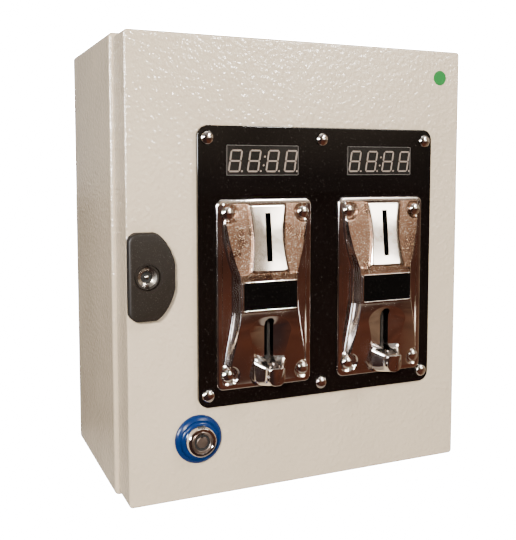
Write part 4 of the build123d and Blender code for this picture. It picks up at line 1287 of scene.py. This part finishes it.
# ---------------------------------------------------------------- tubular-key lock
@dataclass
class KeyLock:
    """Blue ring, bright cylinder and the turning plug with its ring keyway."""

    def __post_init__(self) -> None:
        """Find the lock's axis and depths."""
        self.centre = (centre_of("lock_plug").x, centre_of("lock_ring").z)
        self.body_low, self.body_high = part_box("lock_body")
        self.ring_low, self.ring_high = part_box("lock_ring")
        self.plug_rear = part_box("lock_plug")[1].y

    def build_ring(self) -> bpy.types.Object:
        """The glossy ring, dished between its rim and its collar."""
        door, front = self.ring_high.y, self.ring_low.y
        outer = (self.ring_high.x - self.ring_low.x) / 2
        bore = 9.6 * MM
        dish = [(0, -1.2), (0.4, -2.0), (1.4, -2.9), (2.7, -3.6), (3.0, -3.1), (3.4, -3.1), (3.7, -3.7)]
        collar = [(4.3, 0.3), (4.8, 0)]
        profile = [(bore, door), (outer, door)]
        profile += [(outer - inwards * MM, door + depth * MM) for inwards, depth in dish]
        profile += [(outer - inwards * MM, front + depth * MM) for inwards, depth in collar]
        profile += [(bore, front), (bore, door)]
        return publish(
            turned(profile, self.centre, 72),
            "lock_blue_ring",
            "door",
            "ring_blue",
            angle=45,
            replaces=("lock_ring",),
        )

    def build_cylinder(self) -> bpy.types.Object:
        """The bright cylinder that stands out of the ring, notched at the top, with a near-black slab of
        painted shade on the notch's floor.
        """
        front, rear, base = self.body_low.y, self.body_high.y, self.ring_low.y
        bore, thread = 7.05 * MM, 9.4 * MM
        face = [(7.05, 0.25), (7.2, 0.05), (8.6, 0), (9.0, 0.12), (9.3, 0.5), (9.9, 3.2)]
        profile = [(bore, rear), *section(front, face), (10.2 * MM, base)]
        profile += [(thread, base), (thread, rear), (bore, rear)]
        piece = publish(
            turned(profile, self.centre, 72), "lock_cylinder", "door", "lock_chrome", replaces=("lock_body",)
        )
        x, z = self.centre
        half, deep, play = 2.7 * MM, (front + 0.9 * MM, front + 3.6 * MM), 0.02 * MM
        carve(piece, [slab((x - half, x + half), deep, (z + 8.4 * MM, z + 12 * MM))])
        # A near-black slab on the notch's floor: painted shade where the cut would otherwise show bright
        # metal.
        floor = slab(
            (x - half - play, x + half + play),
            (deep[0] - play, deep[1] + play),
            (z + 8.3 * MM, z + 8.7 * MM),
        )
        publish(floor, "lock_notch_painted_shade", "door", "lock_chrome", PAINTED_SHADE_DARK)
        return piece

    def build_plug(self) -> bpy.types.Object:
        """The plug: ring keyway round a post, with the key's guide notch at the top, and a near-black ring of
        painted shade a little way down the keyway.
        """
        front = self.body_low.y + 0.2 * MM
        post = [(0, 0.5), (3.3, 0.5), (3.7, 0.9), (3.7, 7.0), (5.3, 7.0), (5.3, 0.3)]
        rim = [(5.6, 0), (6.6, 0), (7.0, 0.3)]
        shaft = section(self.plug_rear, [(7, -3.3), (3, -3.3), (3, 0), (0, 0)])
        piece = publish(
            turned(section(front, post + rim) + shaft, self.centre, 64),
            "lock_plug_face",
            "key_plug",
            "plug_steel",
            replaces=("lock_plug",),
        )
        x, z = self.centre
        half = 0.9 * MM
        guide = slab((x - half, x + half), (front - 1 * MM, front + 4 * MM), (z + 2.9 * MM, z + 6.4 * MM))
        carve(piece, [guide])
        # A near-black ring a little way down the keyway: painted shade for the deep annulus.
        floor = section(front, [(3.72, 1.2), (5.28, 1.2), (5.28, 1.6), (3.72, 1.6), (3.72, 1.2)])
        publish(
            turned(floor, self.centre, 64), "lock_keyway_painted_shade", "key_plug", "plug_steel", PAINTED_SHADE_DARK
        )
        return piece

    def build(self) -> None:
        """Build the ring, the cylinder and the plug."""
        self.build_ring()
        self.build_cylinder()
        self.build_plug()


# ---------------------------------------------------------------- frame finishes
def dress_frame() -> None:
    """Give every CAD node its slot's material."""
    for row in frame["record"]["subparts"]:
        node = frame["nodes"][row["node"]]
        node.data.materials.clear()
        node.data.materials.append(MATERIALS[row["material_slot"]])


def place_screws() -> None:
    """Dome screws of the front panel and of the coin plates."""
    panel_low, panel_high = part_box("front_panel")
    low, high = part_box("panel_screws")
    radius = 4.2 * MM
    xs = [low.x + radius, (low.x + high.x) / 2, high.x - radius]
    centres = [(x, z) for x in xs for z in (low.z + radius, high.z - radius)]
    DomeScrews("panel_screws", centres, panel_low.y, high.y).build()
    low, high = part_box("face_plate_screws")
    centres = []
    for side in ("left", "right"):
        plate = centre_of(f"{side}_face_window").x
        centres += [(plate + i * 26.5 * MM, z) for i in (-1, 1) for z in (low.z + radius, high.z - radius)]
    DomeScrews("face_plate_screws", centres, low.y + 2.6 * MM, high.y).build()
    LOG.info("panel front at %.4f m, rear at %.4f m", panel_low.y, panel_high.y)


# ---------------------------------------------------------------- stage
@dataclass(frozen=True)
class Lamp:
    """A soft rectangular light aimed at the cabinet's middle."""

    name: str
    place: Colour
    width: float
    height: float
    power: float
    tint: Colour
    fills: bool = True

    def build(self) -> None:
        """Hang the light; one that doesn't fill shows only in reflections."""
        light = bpy.data.lights.new(self.name, "AREA")
        light.shape = "RECTANGLE"
        light.size = self.width
        light.size_y = self.height
        light.energy = self.power
        light.color = self.tint
        lamp = bpy.data.objects.new(self.name, light)
        bpy.context.scene.collection.objects.link(lamp)
        lamp.location = self.place
        lamp.visible_diffuse = self.fills
        aim = Vector((0.0, -0.05, 0.15)) - lamp.location
        lamp.rotation_euler = aim.to_track_quat("-Z", "Y").to_euler()


LAMPS = (
    Lamp("key", (-0.66, -1.12, 0.54), 0.12, 0.12, 26.0, (1.0, 0.93, 0.83)),
    Lamp("fill", (0.80, -1.05, 1.15), 0.35, 0.35, 11.0, (1.0, 0.94, 0.86)),
    Lamp("glint", (0.45, -1.05, 0.72), 0.10, 0.10, 12.0, (1.0, 0.98, 0.95), fills=False),
    Lamp("edge", (-1.0, -0.22, 0.34), 0.45, 0.252, 36.0, (0.93, 0.96, 1.0), fills=False),
    Lamp("top", (0.0, 0.1, 1.4), 0.7, 0.7, 5.0, (1.0, 0.97, 0.94)),
)


@dataclass
class Stage:
    """Pale floor, soft lights and the camera."""

    eye: Vector = field(default_factory=lambda: Vector((-0.2353, -0.5486, 0.2144)))
    ahead: Vector = field(default_factory=lambda: Vector((0.3976, 0.9141, -0.0797)))
    lens: float = 51.5
    shift_y: float = -0.0734

    def build_camera(self) -> None:
        """Place the camera level, looking along ahead."""
        camera = bpy.data.cameras.new("camera")
        camera.lens = self.lens
        camera.sensor_width = 36.0
        camera.shift_y = self.shift_y
        camera.clip_start = 0.01
        viewer = bpy.data.objects.new("camera", camera)
        bpy.context.scene.collection.objects.link(viewer)
        back = -self.ahead.normalized()
        right = Vector((0, 0, 1)).cross(back).normalized()
        up = back.cross(right)
        turn = Matrix((right, up, back)).transposed().to_4x4()
        viewer.matrix_world = Matrix.Translation(self.eye) @ turn
        bpy.context.scene.camera = viewer

    def build_floor(self) -> None:
        """A wide pale floor that glows white to the camera; to glossy rays it glows instead with a painted
        reflection in the browns of a wooden bench top.
        """
        bm = bmesh.new()
        bmesh.ops.create_grid(bm, x_segments=8, y_segments=8, size=6.0)
        mesh = bpy.data.meshes.new("floor")
        bm.to_mesh(mesh)
        bm.free()
        floor = bpy.data.objects.new("floor", mesh)
        bpy.context.scene.collection.objects.link(floor)
        material = bpy.data.materials.new("pale_floor")
        material.use_nodes = True
        material.node_tree.nodes.clear()
        graph = Graph(material.node_tree)
        path = graph.add("LightPath")
        place = graph.add("TexCoord").outputs["Object"]
        away = graph.add("VectorMath", {0: place}, operation="LENGTH").outputs["Value"]
        heading = graph.add("VectorMath", {0: place}, operation="NORMALIZE").outputs[0]
        side = graph.add("SeparateXYZ", {0: heading}).outputs["X"]
        # Brown and red-brown bands by direction and distance: painted reflection colours that only glossy
        # rays see.
        ahead = graph.mix(graph.spread(side, -0.2, 0.04), (0.042, 0.022, 0.02), (0.125, 0.042, 0.024))
        bench = graph.mix(graph.spread(side, 0.62, 0.82), ahead, (0.30, 0.19, 0.12))
        near = graph.mix(graph.spread(away, 0.150, 0.163), (0.66, 0.56, 0.46), bench)
        far = graph.mix(graph.spread(away, 0.6, 1.3), near, graph.mix(0.5, bench, (0.03, 0.018, 0.015)))
        streak = graph.noise(place, 0.25, 2.0)
        glossy_glow_colour = graph.mix(graph.spread(streak, 0.4, 0.65, 0.0, 0.45), far, (0.03, 0.014, 0.011))
        pale = graph.add("BsdfDiffuse", {"Color": (0.55, 0.55, 0.56)})
        glossy_glow = graph.add("Emission", {"Color": glossy_glow_colour})
        lift = graph.add("Emission", {"Color": (1.0, 1.0, 1.0), "Strength": 20.0})
        shown = graph.add("AddShader", {0: pale.outputs[0], 1: lift.outputs[0]})
        by_camera, by_gloss = path.outputs["Is Camera Ray"], path.outputs["Is Glossy Ray"]
        direct = graph.add("MixShader", {0: by_camera, 1: pale.outputs[0], 2: shown.outputs[0]})
        mixed = graph.add("MixShader", {0: by_gloss, 1: direct.outputs[0], 2: glossy_glow.outputs[0]})
        output = graph.add("OutputMaterial")
        material.node_tree.links.new(mixed.outputs[0], output.inputs[0])
        mesh.materials.append(material)

    def build_world(self) -> None:
        """A white surround; polished metal sees a dim room with windows instead."""
        world = bpy.data.worlds.new("studio")
        bpy.context.scene.world = world
        world.use_nodes = True
        world.node_tree.nodes.clear()
        graph = Graph(world.node_tree)
        path = graph.add("LightPath")
        facing = graph.add("TexCoord").outputs["Generated"]
        axes = graph.add("SeparateXYZ", {0: facing})
        x, y, z = axes.outputs["X"], axes.outputs["Y"], axes.outputs["Z"]

        def patch(
            across: tuple[float, float], up: tuple[float, float], soft: float
        ) -> bpy.types.NodeSocket:
            """Mask of a soft-edged region of the surround, in front of the cabinet."""
            region = graph.spread(y, 0.1, -0.1)
            for value, (low, high) in ((x, across), (z, up)):
                rising = graph.spread(value, low - soft, low + soft)
                falling = graph.spread(value, high + soft, high - soft)
                region = graph.sum(region, graph.sum(rising, falling, "MULTIPLY"), "MULTIPLY")
            return region

        room = graph.mix(graph.spread(z, 0.3, 0.9), (0.13, 0.095, 0.08), (0.42, 0.40, 0.38))
        room = graph.mix(patch((0.0, 1.2), (0.02, 0.42), 0.03), room, (0.60, 0.48, 0.36))
        room = graph.mix(patch((0.41, 0.62), (0.125, 0.24), 0.012), room, (11.0, 10.4, 9.4))
        room = graph.mix(patch((-0.34, 0.08), (-0.3, 0.5), 0.04), room, (0.05, 0.035, 0.035))
        columns = graph.add("VectorMath", {0: facing, 1: (1.0, 1.0, 0.12)}, operation="MULTIPLY").outputs[0]
        stripes = graph.add("TexNoise", {"Vector": columns, "Scale": 7.0, "Detail": 2.0}).outputs["Fac"]
        side = graph.mix(graph.spread(stripes, 0.5, 0.62), (0.07, 0.045, 0.04), (0.32, 0.28, 0.29))
        room = graph.mix(patch((-1.2, -0.36), (-0.5, 0.6), 0.03), room, side)
        behind = graph.mix(graph.spread(x, -0.35, 0.1), (0.2, 0.17, 0.15), (1.0, 0.93, 0.86))
        room = graph.mix(graph.spread(y, 0.05, 0.25), room, behind)
        blotch = graph.add("TexNoise", {"Vector": facing, "Scale": 3.4, "Detail": 1.0}).outputs["Fac"]
        uneven = graph.mix(graph.spread(blotch, 0.54, 0.66, 0.0, 0.6), room, (0.03, 0.022, 0.02))
        uneven = graph.mix(patch((-0.94, -0.88), (0.0, 0.9), 0.02), uneven, (12.0, 12.5, 14.0))
        colour = graph.mix(path.outputs["Is Glossy Ray"], (0.23, 0.235, 0.25), uneven)
        shown = graph.mix(path.outputs["Is Camera Ray"], colour, (40.0, 40.0, 40.0))
        back = graph.add("Background", {"Color": shown, "Strength": 1.0})
        output = graph.add("OutputWorld")
        world.node_tree.links.new(back.outputs[0], output.inputs[0])

    def build(self) -> None:
        """Build the camera, the floor, the surround and the lights."""
        self.build_camera()
        self.build_floor()
        self.build_world()
        for lamp in LAMPS:
            lamp.build()


def main() -> None:
    """Build the stage, dress the frame and add the fine pieces."""
    logging.basicConfig(level=logging.INFO, format="%(message)s")
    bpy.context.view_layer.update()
    Stage().build()
    dress_frame()
    place_screws()
    for side in ("left", "right"):
        FacePlate(side).build()
        Display(side).build()
    Latch().build()
    KeyLock().build()


if __name__ == "__main__":
    main()
